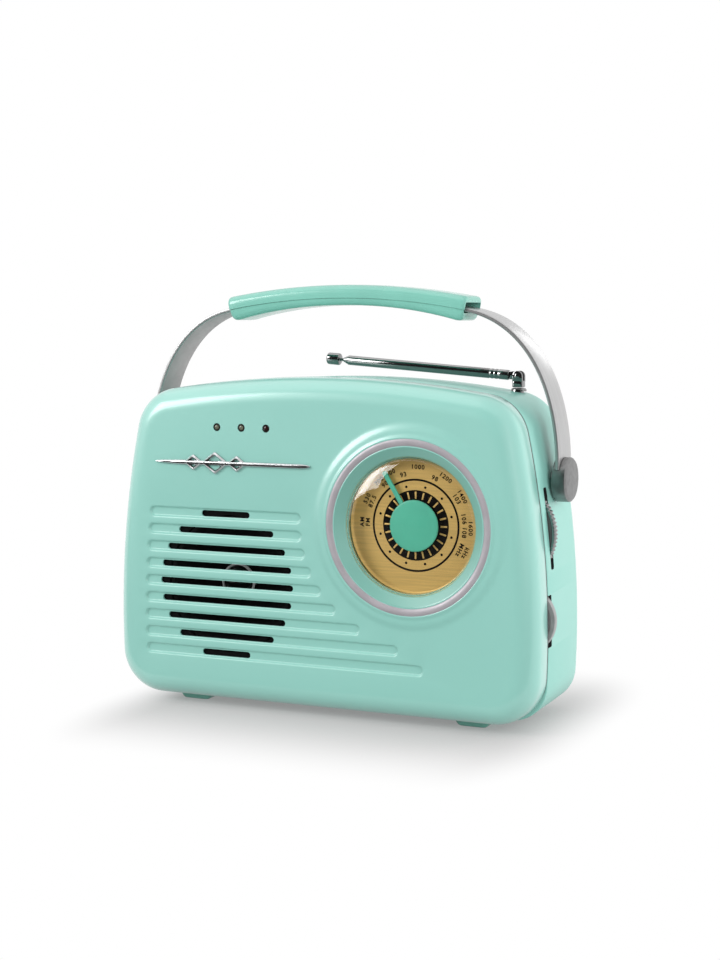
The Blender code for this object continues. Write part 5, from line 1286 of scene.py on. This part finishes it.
ANTENNA_HINGE = Vector(JOINTS["antenna_fold"]["pos_m"])
ANTENNA_ALONG = Vector(JOINTS["antenna_draw_rod"]["axis"])
ANTENNA_PLACE = Matrix.Translation(ANTENNA_HINGE) @ ANTENNA_ALONG.to_track_quat("Z", "Y").to_matrix().to_4x4()


def tube_form(profile, wrap=False):
    return turned(scaled(profile), TUBE_SIDES, ANTENNA_PLACE, wrap)


def drawn_tube_form(bore, start):
    """A tube that draws out, with a rolled end."""
    end = start + 97.5
    profile = [(bore, start), (bore, end), (bore - 0.15, end + 0.4), (bore - 0.05, end + 0.5),
               (bore + 0.2, end + 0.4), (bore + 0.35, end), (bore + 0.35, start)]
    return tube_form(profile, wrap=True)


def rod_form():
    """The last stage, with the knob at its tip."""
    return tube_form([(0.0, 119.2), (2.4, 119.2), (3.0, 119.05), (3.4, 118.65), (3.5, 118.1), (3.5, 112.2),
                      (3.35, 111.6), (2.9, 111.25), (1.3, 111.15), (1.0, 110.9), (0.9, 110.2), (0.9, 12.2),
                      (0.0, 12.2)])


def outer_tube_form():
    """Outer tube with pressed rings by the hinge, a rolled end and a flat tongue."""
    profile = [(0.0, 8.0), (2.5, 8.0), (2.5, 105.2), (2.3, 105.9), (2.4, 106.0), (2.7, 105.85), (2.85, 105.4)]
    for place in (17.0, 14.5, 12.0):
        profile += [(2.85, place + 0.7), (2.66, place + 0.2), (2.66, place - 0.2), (2.85, place - 0.7)]
    profile += [(2.85, 6.3), (2.7, 5.75), (2.4, 5.5), (0.0, 5.5)]
    form = tube_form(profile)
    low = arc((0.0, 0.0), 2.3 * MM, math.pi, 2 * math.pi, 16)
    outline = low + [(2.3 * MM, 6.0 * MM), (-2.3 * MM, 6.0 * MM)]
    form.prism(outline, -1.1 * MM, 1.1 * MM, 0.25 * MM, tongue_place())
    return form


def tongue_place():
    """Local Y runs along the antenna and local Z across it, front to back."""
    along = ANTENNA_ALONG
    across = Vector((0.0, -1.0, 0.0))
    side = along.cross(across)
    turn = Matrix((side, along, across)).transposed().to_4x4()
    return Matrix.Translation(ANTENNA_HINGE) @ turn


def knuckle_form():
    form = Form()
    low, high, middle = node_box("antenna_knuckle")
    half = (high.x - low.x) / 2
    top = ANTENNA_HINGE.z - 2.55 * MM
    place = Matrix.Translation((middle.x, middle.y, 0.0))
    form.prism(rounded_rectangle(half, half, 1.2 * MM), low.z, top, 0.3 * MM, place)
    radius = high.z - ANTENNA_HINGE.z
    cheek = arc((0.0, ANTENNA_HINGE.z), radius, 0.0, math.pi, 20)
    cheek += [(-half + 0.1 * MM, top - 0.6 * MM), (half - 0.1 * MM, top - 0.6 * MM)]
    facing = front_at(middle.x, middle.y, 0.0)
    for start, end in ((1.4 * MM, half), (-half, -1.4 * MM)):
        form.prism(cheek, start, end, 0.3 * MM, facing)
    hinge = front_at(middle.x, middle.y, ANTENNA_HINGE.z)
    form.turn(scaled([(0.0, 3.55), (0.7, 3.5), (1.4, 3.3), (1.5, 3.0)]), TINY_SIDES, hinge)
    return form


def antenna_base_form():
    low, high, middle = node_box("antenna_base")
    top = high.z
    profile = [(0.0, top), (3.0 * MM, top), (3.5 * MM, top - 0.1 * MM), (4.1 * MM, top - 0.5 * MM),
               (4.45 * MM, top - 1.1 * MM), (4.5 * MM, top - 2.0 * MM), (2.9 * MM, top - 2.0 * MM),
               (2.9 * MM, low.z), (0.0, low.z)]
    return turned(profile, TUBE_SIDES, Matrix.Translation((middle.x, middle.y, 0.0)))


# Rear pieces

def socket_form(node, recess, corner, floor, soft):
    """A socket body with a rounded recess, open to the back."""
    form = Form()
    low, high, middle = node_box(node)
    half_x = (high.x - low.x) / 2
    half_z = (high.z - low.z) / 2
    place = back_at(middle.x, 0.0, middle.z)
    inner = min(corner, 0.45 * recess[1])

    def ring(size, radius, y):
        return [(x, z, y) for x, z in rounded_rectangle(size[0], size[1], radius, steps=5)]

    rings = [ring((half_x, half_z), corner, low.y), ring((half_x, half_z), corner, high.y - soft),
             ring((half_x - 0.3 * soft, half_z - 0.3 * soft), corner - 0.3 * soft, high.y - 0.3 * soft),
             ring((half_x - soft, half_z - soft), corner - soft, high.y),
             ring((recess[0] + 0.35 * MM, recess[1] + 0.35 * MM), inner + 0.35 * MM, high.y),
             ring(recess, inner, high.y - 0.35 * MM), ring(recess, inner, high.y - floor)]
    form.loft(rings, place, start_cap=True, end_cap=True)
    return form, middle, high.y


def inlet_form():
    form, middle, back = socket_form("mains_inlet", (8 * MM, 4 * MM), 2.2 * MM, 11.2 * MM, 0.5 * MM)
    form.finish = 1
    pin = scaled([(0.0, 8.6), (0.7, 8.5), (1.15, 7.9), (1.15, 0.0), (0.0, 0.0)])
    for side in (-1, 1):
        form.turn(pin, TINY_SIDES, back_at(middle.x + side * 4.3 * MM, back - 11.4 * MM, middle.z))
    return form


def usb_form():
    form, middle, back = socket_form("usb_socket", (6 * MM, 2.5 * MM), 0.8 * MM, 12.6 * MM, 0.25 * MM)
    place = back_at(middle.x, 0.0, middle.z)
    form.finish = 1
    tongue = rounded_rectangle(5.2 * MM, 0.9 * MM, 0.2 * MM, (0.0, 0.9 * MM), 2)
    form.prism(tongue, back - 12.8 * MM, back - 2.2 * MM, 0.2 * MM, place)
    form.finish = 2
    for i in range(4):
        strip = rounded_rectangle(0.5 * MM, 0.12 * MM, 0.04 * MM, ((i - 1.5) * 2.2 * MM, -0.08 * MM), 1)
        form.prism(strip, back - 12 * MM, back - 3 * MM, 0.02 * MM, place)
    return form


def aux_form():
    form = Form()
    _, high, middle = node_box("aux_socket")
    place = back_at(middle.x, high.y, middle.z)
    form.finish = 1
    ring = [(1.8, -9.5), (1.8, -0.3), (2.05, 0.0), (2.9, 0.0), (3.1, -0.2), (3.1, -0.6)]
    form.turn(scaled(ring), TUBE_SIDES, place)
    form.finish = 0
    body = [(3.1, -0.6), (3.3, -0.2), (4.1, -0.15), (4.4, -0.4), (4.5, -0.8), (4.5, -12.0), (0.0, -12.0)]
    form.turn(scaled(body), TUBE_SIDES, place)
    form.turn(scaled([(0.0, -9.5), (1.8, -9.5)]), TUBE_SIDES, place)
    return form


def slider_form():
    """A square slide with four ridges for the finger."""
    form = Form()
    low, high, middle = node_box("band_slider")
    half = (high.x - low.x) / 2
    back = high.y - middle.y
    outline = [(-half, low.y - middle.y), (half, low.y - middle.y), (half, back - 0.9 * MM)]
    for i in range(4):
        x = half - (i + 0.5) * half / 2
        outline += [(x + 0.5 * MM, back - 0.5 * MM), (x + 0.25 * MM, back), (x - 0.25 * MM, back),
                    (x - 0.5 * MM, back - 0.5 * MM)]
    outline += [(-half, back - 0.9 * MM)]
    form.prism(outline, low.z - middle.z, high.z - middle.z, 0.12 * MM, Matrix.Translation(middle))
    return form


def button_form():
    _, high, middle = node_box("source_button")
    place = back_at(middle.x, high.y, middle.z)
    profile = [(0.0, -0.45), (1.5, -0.4), (3.0, -0.2), (3.9, -0.03), (4.4, 0.0), (4.75, -0.15), (4.95, -0.5),
               (5.0, -1.0), (5.0, -9.0), (0.0, -9.0)]
    return turned(scaled(profile), PART_SIDES, place)


def door_form():
    """Battery door with softened rims, before its scoop and bars."""
    form = Form()
    thickness = DOOR_HIGH.y - DOOR_LOW.y
    form.prism(rounded_rectangle(*DOOR_HALF, 1.3 * MM), -thickness, 0.0, 0.35 * MM, DOOR_PLACE)
    return form


def door_scoop():
    """A hollow for the finger, cut into the door."""
    place = back_at(DOOR_MIDDLE[0], DOOR_HIGH.y, DOOR_HIGH.z - 9.5 * MM)
    profile = [(0.0, 2.0), (11.5, 2.0), (11.0, 0.0), (10.4, -0.5), (8.5, -0.95), (5.0, -1.15), (0.0, -1.2)]
    squash = Matrix.Diagonal((1.0, 0.5, 1.0, 1.0))
    return turned(scaled(profile), PART_SIDES, place @ squash)


def door_bars():
    """Low bars across the door."""
    form = Form()
    for i in range(DOOR_BARS):
        bar = bar_outline(-36 * MM, 36 * MM, (i - 3.2) * 5.5 * MM, 0.7 * MM)
        form.prism(bar, -0.6 * MM, 0.35 * MM, 0.25 * MM, DOOR_PLACE)
    return form


def cell_form(node):
    """A dry cell with a jacket crimped over its steel ends and a raised contact at one end."""
    form = Form()
    low, high, middle = node_box(node)
    radius = (high.z - low.z) / 2 / MM
    length = (high.x - low.x) / MM
    if "upper" in node:
        place = Matrix.Translation((low.x, middle.y, middle.z)) @ FACING_RIGHT
    else:
        place = Matrix.Translation((high.x, middle.y, middle.z)) @ FACING_LEFT
    rim = radius - 1.8
    top = length - 2.0
    jacket = [(rim, 0.3), (radius - 0.6, 0.3), (radius - 0.15, 0.75), (radius, 1.3), (radius, top - 1.0),
              (radius - 0.15, top - 0.45), (radius - 0.6, top), (rim, top)]
    base = [(0.0, 0.0), (rim - 0.6, 0.0), (rim, 0.3)]
    contact = [(rim, top), (rim - 0.3, top - 0.3), (4.6, top - 0.3), (4.3, length - 0.5), (3.9, length),
               (0.0, length)]
    for number, profile in ((0, jacket), (1, base), (1, contact)):
        form.finish = number
        form.turn(scaled(profile), PART_SIDES, place)
    return form


def foot_form(node):
    """A foot that narrows towards the table, with rounded edges."""
    form = Form()
    low, high, middle = node_box(node)
    half_x = (high.x - low.x) / 2
    half_y = (high.y - low.y) / 2
    height = high.z - low.z
    taper = 3.5 * MM
    rings = []
    for share, inset in ((0.0, 1.0), (0.05, 0.45), (0.13, 0.12), (0.25, 0.0), (1.0, 0.0)):
        x = half_x - taper * (1 - share) - inset * MM
        rings.append([(middle.x + px, middle.y + py, low.z + share * height)
                      for px, py in rounded_rectangle(x, half_y - inset * MM, 1.5 * MM, steps=5)])
    form.loft(rings, start_cap=True, end_cap=True)
    return form


def trim_form():
    form = Form()
    near = TRIM_Y - FACE_Y
    far = near + TRIM_THICKNESS
    sections = [(near, TRIM_INSET), (near, TRIM_WIDTH), (far, TRIM_WIDTH), (far, TRIM_INSET)]
    form.loft(case_rings(sections, FRONT_LOW_CORNER), wrap=True)
    return form


# Operators

class RADIO_OT_case_front(bpy.types.Operator):
    """Front shell with soft grooves, sound slots and the ridge and bowl round the dial"""
    bl_idname = "radio.case_front"
    bl_label = "Front Shell"

    def execute(self, context):
        case = context.scene.radio_case
        # The second finish is painted shade: the bowl round the lens in a darker copy of the mint.
        finishes = [finish("mint_paint", case.mint), finish("mint_paint", case.painted_bowl_shade)]
        make("case_front", front_form(case), finishes, "case", ["front_shell"])
        return {"FINISHED"}


class RADIO_OT_case_back(bpy.types.Operator):
    """Rear shell with its screw wells, wheel openings and socket openings"""
    bl_idname = "radio.case_back"
    bl_label = "Rear Shell"

    def execute(self, context):
        case = context.scene.radio_case
        # The second finish is painted shade: black on the walls of the wheel openings.
        finishes = [finish("shell_paint", case.mint), finish("socket_black", SOCKET_BLACK_AND_PAINTED_SHADE)]
        make("case_back", rear_form(case), finishes, "case", ["rear_shell"],
             carvings=[("UNION", rear_posts()), ("DIFFERENCE", rear_cuts())])
        return {"FINISHED"}


class RADIO_OT_trim_and_feet(bpy.types.Operator):
    """Trim in the seam between the shells, and the four feet"""
    bl_idname = "radio.trim_and_feet"
    bl_label = "Trim and Feet"

    def execute(self, context):
        grey = finish("seam_grey", context.scene.radio_case.seam)
        make("seam_line", trim_form(), [grey], "case", ["seam_trim"])
        grip = finish("grip_plastic", context.scene.radio_handle.grip)
        for node in ("foot_front_left", "foot_front_right", "foot_rear_left", "foot_rear_right"):
            make(node + "_pad", foot_form(node), [grip], "case", [node])
        return {"FINISHED"}


class RADIO_OT_dial(bpy.types.Operator):
    """Dial plate with its printed scale, pointer, ring and domed lens"""
    bl_idname = "radio.dial"
    bl_label = "Dial"

    def execute(self, context):
        dial = context.scene.radio_dial
        gold = finish("dial_gold", dial.gold)
        make("dial_face", plate_form(), [gold], "case", ["dial_plate"])
        make("dial_scale", scale_form(dial), [finish("dial_ink", dial.ink), gold], "case")
        make("dial_needle", pointer_form(dial), [finish("pointer_paint", dial.hub)], "dial",
             ["dial_pointer"])
        make("dial_ring", ring_form(), [finish("satin_grey", dial.ring)], "case",
             ["bezel_ring"])
        lens = make("dial_dome", lens_form(), [finish("clear_dome", (1.0, 1.0, 1.0))], "case",
                    ["dial_lens"], 60.0)
        lens.visible_shadow = False
        lens.visible_diffuse = False
        lens.visible_glossy = False
        return {"FINISHED"}


class RADIO_OT_front_details(bpy.types.Operator):
    """Three lamps and the plated ornament on the front"""
    bl_idname = "radio.front_details"
    bl_label = "Lamps and Ornament"

    def execute(self, context):
        chrome = finish("plated_chrome", context.scene.radio_handle.chrome)
        smoked = finish("lamp_lens", LAMP_SMOKED)
        red = finish("lamp_lens", LAMP_RED)
        rim = finish("lamp_lens", LAMP_RIM)
        for node, glass in zip(LAMP_NODES, (smoked, smoked, red)):
            form = lamp_form()
            middle = node_middle(node)
            form.move(front_at(middle.x, FACE_Y, middle.z))
            make(node + "_body", form, [rim, glass], "case", [node])
        make("ornament_bar", ornament_form(), [chrome], "case", ["front_ornament"], 28.0)
        return {"FINISHED"}


class RADIO_OT_speaker(bpy.types.Operator):
    """Speaker cone and dust cap behind the sound slots"""
    bl_idname = "radio.speaker"
    bl_label = "Speaker"

    def execute(self, context):
        black = context.scene.radio_case.speaker_black_and_painted_shade
        make("cone_paper", cone_form(), [finish("speaker_paper", black)], "case",
             ["speaker_cone"])
        finishes = [finish("gloss_black", black), finish("satin_grey", CAP_RING_GREY)]
        make("dust_cap_dome", dust_cap_form(), finishes, "case", ["speaker_dust_cap"])
        return {"FINISHED"}


class RADIO_OT_wheels(bpy.types.Operator):
    """Knurled tuning wheel and smooth volume wheel in the right-hand side"""
    bl_idname = "radio.wheels"
    bl_label = "Side Wheels"

    def execute(self, context):
        handle = context.scene.radio_handle
        grey = finish("wheel_grey", handle.wheel)
        finishes = [finish("wheel_grey", WHEEL_HUB_GREY), finish("antenna_plate", handle.rod)]
        make("tuning_disc", tuning_wheel_form(handle), finishes, "tuning", ["tuning_wheel"],
             40.0)
        make("volume_disc", volume_wheel_form(), [grey], "volume", ["volume_wheel"])
        return {"FINISHED"}


class RADIO_OT_handle(bpy.types.Operator):
    """Strap, both grip halves and both drums of the carry handle"""
    bl_idname = "radio.handle"
    bl_label = "Carry Handle"

    def execute(self, context):
        handle = context.scene.radio_handle
        # The second finish is painted shade on the strap's inner face.
        finishes = [finish("brushed_aluminium", handle.metal), finish("satin_grey", STRAP_INSIDE_PAINTED_SHADE)]
        make("strap_band", strap_form(handle), finishes, "handle", ["handle_strap"])
        grip = finish("grip_plastic", handle.grip)
        make("grip_top_half", grip_form(True), [grip], "handle", ["grip_upper"], 40.0)
        make("grip_low_half", grip_form(False), [grip], "handle", ["grip_lower"], 40.0)
        for node, sign in (("handle_drum_right", 1), ("handle_drum_left", -1)):
            place = Matrix.Translation((sign * DRUM_FACE, PIVOT_Y, PIVOT_Z))
            form = drum_form()
            form.move(place @ (FACING_RIGHT if sign > 0 else FACING_LEFT))
            channel = drum_channel()
            channel.move(place @ Matrix.Diagonal((sign, 1.0, 1.0, 1.0)))
            make(node + "_disc", form, [finish("drum_aluminium", handle.drum)], "handle",
                 [node], carvings=[("DIFFERENCE", channel)])
        return {"FINISHED"}


class RADIO_OT_antenna(bpy.types.Operator):
    """Antenna foot, knuckle and four telescopic stages"""
    bl_idname = "radio.antenna"
    bl_label = "Antenna"

    def execute(self, context):
        chrome = [finish("antenna_plate", context.scene.radio_handle.rod)]
        make("antenna_foot", antenna_base_form(), chrome, "case", ["antenna_base"])
        make("antenna_fork", knuckle_form(), chrome, "antenna_knuckle", ["antenna_knuckle"])
        make("antenna_stage_1", outer_tube_form(), chrome, "antenna_outer", ["antenna_tube_outer"])
        make("antenna_stage_2", drawn_tube_form(1.85, 9.4), chrome, "antenna_middle",
             ["antenna_tube_middle"])
        make("antenna_stage_3", drawn_tube_form(1.2, 10.8), chrome, "antenna_inner",
             ["antenna_tube_inner"])
        make("antenna_stage_4", rod_form(), chrome, "antenna_rod", ["antenna_rod"])
        return {"FINISHED"}


class RADIO_OT_rear_details(bpy.types.Operator):
    """Battery door, sockets, slide and button on the back"""
    bl_idname = "radio.rear_details"
    bl_label = "Rear Details"

    def execute(self, context):
        black = finish("socket_black", SOCKET_BLACK_AND_PAINTED_SHADE)
        steel = finish("zinc_steel", SOCKET_STEEL)
        brass = finish("spring_brass", CONTACT_BRASS)
        case = context.scene.radio_case
        make("door_panel", door_form(), [finish("shell_paint", case.mint)], "door",
             ["battery_door"], carvings=[("DIFFERENCE", door_scoop()), ("UNION", door_bars())])
        make("inlet_body", inlet_form(), [black, steel], "case", ["mains_inlet"])
        make("usb_body", usb_form(), [steel, black, brass], "case", ["usb_socket"])
        make("aux_body", aux_form(), [black, steel], "case", ["aux_socket"])
        make("slide_knob", slider_form(), [black], "slider", ["band_slider"])
        make("source_key", button_form(), [finish("satin_grey", context.scene.radio_dial.ring)], "button",
             ["source_button"])
        return {"FINISHED"}


class RADIO_OT_cells(bpy.types.Operator):
    """Four dry cells behind the battery door"""
    bl_idname = "radio.cells"
    bl_label = "Dry Cells"

    def execute(self, context):
        finishes = [finish("cell_jacket", CELL_GREY), finish("zinc_steel", PART_STEEL)]
        for row in ("upper", "lower"):
            for end in ("left", "right"):
                node = f"battery_{row}_{end}"
                make(node + "_cell", cell_form(node), finishes, "case", [node])
        return {"FINISHED"}


class RADIO_OT_inner_parts(bpy.types.Operator):
    """Finishes of the pieces inside the case, which keep their CAD shapes"""
    bl_idname = "radio.inner_parts"
    bl_label = "Inner Parts"

    def execute(self, context):
        white = finish("natural_plastic", INNER_WHITE)
        steel = finish("zinc_steel", PART_STEEL)
        ferrite = finish("dark_ferrite", FERRITE_BLACK)
        brass = finish("spring_brass", CONTACT_BRASS)
        finishes = {
            "dial_gear": white, "tuning_pinion": white, "gear_bracket": white, "tuning_pot": white,
            "dial_shaft": steel, "volume_pot": steel,
            # The steel speaker frame takes the speaker black as painted shade behind the slots.
            "speaker_frame": finish("speaker_paper", context.scene.radio_case.speaker_black_and_painted_shade),
            "speaker_magnet": ferrite, "pivot_pin_left": steel, "pivot_pin_right": steel,
            "ferrite_rod": ferrite, "ferrite_coil": finish("wound_copper", COIL_COPPER),
            "circuit_board": finish("circuit_green", BOARD_GREEN),
            "battery_tray": finish("socket_black", SOCKET_BLACK_AND_PAINTED_SHADE),
            "battery_contact_left": brass, "battery_contact_right": brass,
        }
        for row in ("upper", "lower"):
            for end in ("left", "right"):
                finishes[f"case_screw_{row}_{end}"] = steel
        for node, material in finishes.items():
            for slot in frame["nodes"][node].material_slots:
                slot.material = material
        return {"FINISHED"}


class RADIO_OT_stage(bpy.types.Operator):
    """Floor, soft lights, surroundings and the camera"""
    bl_idname = "radio.stage"
    bl_label = "Stage"

    def execute(self, context):
        stage = context.scene.radio_stage
        add_floor()
        add_surroundings(context.scene, stage.ambient)
        add_dark_cloth()
        for name, place, size, mirrored in SOFTBOXES:
            add_softbox(name + "_softbox", place, size, getattr(stage, name + "_power"), mirrored)
        lit = bpy.data.collections.new("strip_lit")
        lit.objects.link(bpy.data.objects["strap_band"])
        bpy.data.objects["strip_softbox"].light_linking.receiver_collection = lit
        add_camera(context.scene, stage)
        context.scene.view_settings.view_transform = "Standard"
        return {"FINISHED"}


# Stage

# Softboxes: name, place, size and whether gloss and metal mirror them
SOFTBOXES = (("key", (-1.0, -0.966, 0.68), (0.56, 0.7), True),
             ("side", (0.95, 1.1, 0.4), (0.9, 0.9), False),
             ("fill", (1.1, -0.8, 0.4), (0.9, 0.9), False),
             ("top", (-0.5, -0.1, 1.3), (1.3, 1.0), True),
             ("strip", (0.17, 1.0, 0.52), (0.14, 0.3), True))
SOFTBOX_AIM = Vector((0.0, 0.0, 0.12))


def add_softbox(name, place, size, power, mirrored):
    light = bpy.data.lights.new(name, "AREA")
    light.shape = "RECTANGLE"
    light.size, light.size_y = size
    light.energy = power
    item = bpy.data.objects.new(name, light)
    item.location = place
    item.rotation_euler = (SOFTBOX_AIM - Vector(place)).to_track_quat("-Z", "Y").to_euler()
    item.visible_camera = False
    item.visible_glossy = mirrored
    bpy.context.scene.collection.objects.link(item)


def add_camera(scene, stage):
    camera = bpy.data.objects.new("camera", bpy.data.cameras.new("camera"))
    scene.collection.objects.link(camera)
    camera.data.lens = stage.lens
    camera.data.sensor_width = 36.0
    camera.data.sensor_fit = "AUTO"
    level = math.cos(stage.elevation)
    forward = Vector((-math.sin(stage.azimuth) * level, math.cos(stage.azimuth) * level,
                      -math.sin(stage.elevation)))
    camera.location = stage.camera_place
    camera.rotation_euler = forward.to_track_quat("-Z", "Y").to_euler()
    scene.camera = camera


def stage_sheet(name, corners, faces):
    """A plain sheet that is part of the stage."""
    mesh = bpy.data.meshes.new(name)
    mesh.from_pydata(corners, [], faces)
    sheet = bpy.data.objects.new(name, mesh)
    bpy.context.scene.collection.objects.link(sheet)
    return sheet


def add_dark_cloth():
    """A dark cloth in front of the radio, out of the picture, for gloss and metal to mirror."""
    near, far, reach, height = -0.08, -1.7, 2.5, 2.6
    edges = ((near, 0.5 * MM), (far, 0.5 * MM), (far, height))
    corners = [(side * reach, y, z) for y, z in edges for side in (-1, 1)]
    cloth = stage_sheet("dark_cloth", corners, [(0, 1, 3, 2), (2, 3, 5, 4)])
    weave = Finish("dark_cloth_weave", (0.03, 0.03, 0.03), 0.9, tint=(0.8, 1.2, 40.0))
    cloth.data.materials.append(weave.material)
    cloth.visible_camera = False
    cloth.visible_diffuse = False
    cloth.visible_transmission = False
    cloth.visible_shadow = False


def add_floor():
    """A white floor that keeps the radio's real shadow close round it, where it is also a darker grey as a
    painted shadow, and fades to plain white further off.
    """
    reach = 8.0
    floor = stage_sheet("floor", [(-reach, -reach, 0.0), (reach, -reach, 0.0), (reach, reach, 0.0),
                                  (-reach, reach, 0.0)], [(0, 1, 2, 3)])
    # Painted shadow: near the radio the floor is a grey diffuse, in a patch measured from a footprint 0.1 m
    # by 0.035 m, stretched 0.05 m to the sides and 0.125 m to the front, that fades into white emission.
    look = Finish("floor_white", (0.515, 0.487, 0.49), 0.9, tint=(0.99, 1.01, 3.0), Specular_IOR_Level=0.0)
    nodes = look.nodes
    links = look.links
    plain = nodes.new("ShaderNodeEmission")
    source = look.place
    for operation, values in (("SUBTRACT", (0.01, 0.0, 0.0)), ("ABSOLUTE", None),
                              ("SUBTRACT", (0.10, 0.035, 0.0)), ("MAXIMUM", (0.0, 0.0, 0.0)),
                              ("DIVIDE", (0.05, 0.125, 1.0)), ("LENGTH", None)):
        step = nodes.new("ShaderNodeVectorMath")
        step.operation = operation
        links.new(source, step.inputs[0])
        if values is not None:
            step.inputs[1].default_value = values
        source = step.outputs["Value" if operation == "LENGTH" else "Vector"]
    fade = nodes.new("ShaderNodeMapRange")
    fade.interpolation_type = "SMOOTHSTEP"
    fade.inputs["To Min"].default_value = 0.25
    links.new(source, fade.inputs["Value"])
    near = nodes.new("ShaderNodeMixShader")
    links.new(fade.outputs["Result"], near.inputs["Fac"])
    links.new(look.shader.outputs["BSDF"], near.inputs[1])
    links.new(plain.outputs["Emission"], near.inputs[2])
    shown = shown_rays(nodes, links)
    dim = nodes.new("ShaderNodeBsdfDiffuse")
    dim.inputs["Color"].default_value = (0.55, 0.55, 0.55, 1.0)
    both = nodes.new("ShaderNodeMixShader")
    links.new(shown, both.inputs["Fac"])
    links.new(dim.outputs["BSDF"], both.inputs[1])
    links.new(near.outputs["Shader"], both.inputs[2])
    links.new(both.outputs["Shader"], nodes["Material Output"].inputs["Surface"])
    floor.data.materials.append(look.material)


def shown_rays(nodes, links):
    """One for rays that show the background: from the camera, off metal or through glass."""
    path = nodes.new("ShaderNodeLightPath")
    total = path.outputs["Is Camera Ray"]
    for name in ("Is Glossy Ray", "Is Transmission Ray"):
        either = nodes.new("ShaderNodeMath")
        either.operation = "MAXIMUM"
        links.new(total, either.inputs[0])
        links.new(path.outputs[name], either.inputs[1])
        total = either.outputs["Value"]
    return total


def add_surroundings(scene, ambient):
    """White behind the radio and in its metal and glass, and a soft light from all round."""
    world = bpy.data.worlds.new("studio")
    scene.world = world
    world.use_nodes = True
    nodes = world.node_tree.nodes
    links = world.node_tree.links
    soft = nodes["Background"]
    soft.inputs["Color"].default_value = (1.0, 1.0, 1.0, 1.0)
    soft.inputs["Strength"].default_value = ambient
    white = nodes.new("ShaderNodeBackground")
    white.inputs["Color"].default_value = (1.0, 1.0, 1.0, 1.0)
    shown = shown_rays(nodes, links)
    either = nodes.new("ShaderNodeMixShader")
    links.new(shown, either.inputs["Fac"])
    links.new(soft.outputs["Background"], either.inputs[1])
    links.new(white.outputs["Background"], either.inputs[2])
    links.new(either.outputs["Shader"], nodes["World Output"].inputs["Surface"])


class RADIO_PT_pieces(bpy.types.Panel):
    """The radio's settings and the steps that build it"""
    bl_idname = "RADIO_PT_pieces"
    bl_label = "Portable Radio"
    bl_space_type = "VIEW_3D"
    bl_region_type = "UI"
    bl_category = "Radio"

    def draw(self, context):
        for settings in ("radio_case", "radio_dial", "radio_handle", "radio_stage"):
            group = getattr(context.scene, settings)
            column = self.layout.column(align=True)
            for name in group.__annotations__:
                column.prop(group, name)
        for step in STEPS:
            self.layout.operator(step.bl_idname)


STEPS = (RADIO_OT_case_front, RADIO_OT_case_back, RADIO_OT_trim_and_feet, RADIO_OT_dial,
         RADIO_OT_front_details, RADIO_OT_speaker, RADIO_OT_wheels, RADIO_OT_handle, RADIO_OT_antenna,
         RADIO_OT_rear_details, RADIO_OT_cells, RADIO_OT_inner_parts, RADIO_OT_stage)
GROUPS = (("radio_case", CaseSettings), ("radio_dial", DialSettings), ("radio_handle", HandleSettings),
          ("radio_stage", StageSettings))


def register():
    for name, group in GROUPS:
        bpy.utils.register_class(group)
        setattr(bpy.types.Scene, name, PointerProperty(type=group))
    for step in STEPS:
        bpy.utils.register_class(step)
    bpy.utils.register_class(RADIO_PT_pieces)


def unregister():
    bpy.utils.unregister_class(RADIO_PT_pieces)
    for step in reversed(STEPS):
        bpy.utils.unregister_class(step)
    for name, group in reversed(GROUPS):
        delattr(bpy.types.Scene, name)
        bpy.utils.unregister_class(group)


def main():
    register()
    bpy.ops.radio.case_front()
    bpy.ops.radio.case_back()
    bpy.ops.radio.trim_and_feet()
    bpy.ops.radio.dial()
    bpy.ops.radio.front_details()
    bpy.ops.radio.speaker()
    bpy.ops.radio.wheels()
    bpy.ops.radio.handle()
    bpy.ops.radio.antenna()
    bpy.ops.radio.rear_details()
    bpy.ops.radio.cells()
    bpy.ops.radio.inner_parts()
    bpy.ops.radio.stage()
    bpy.context.view_layer.update()


if __name__ == "__main__":
    main()
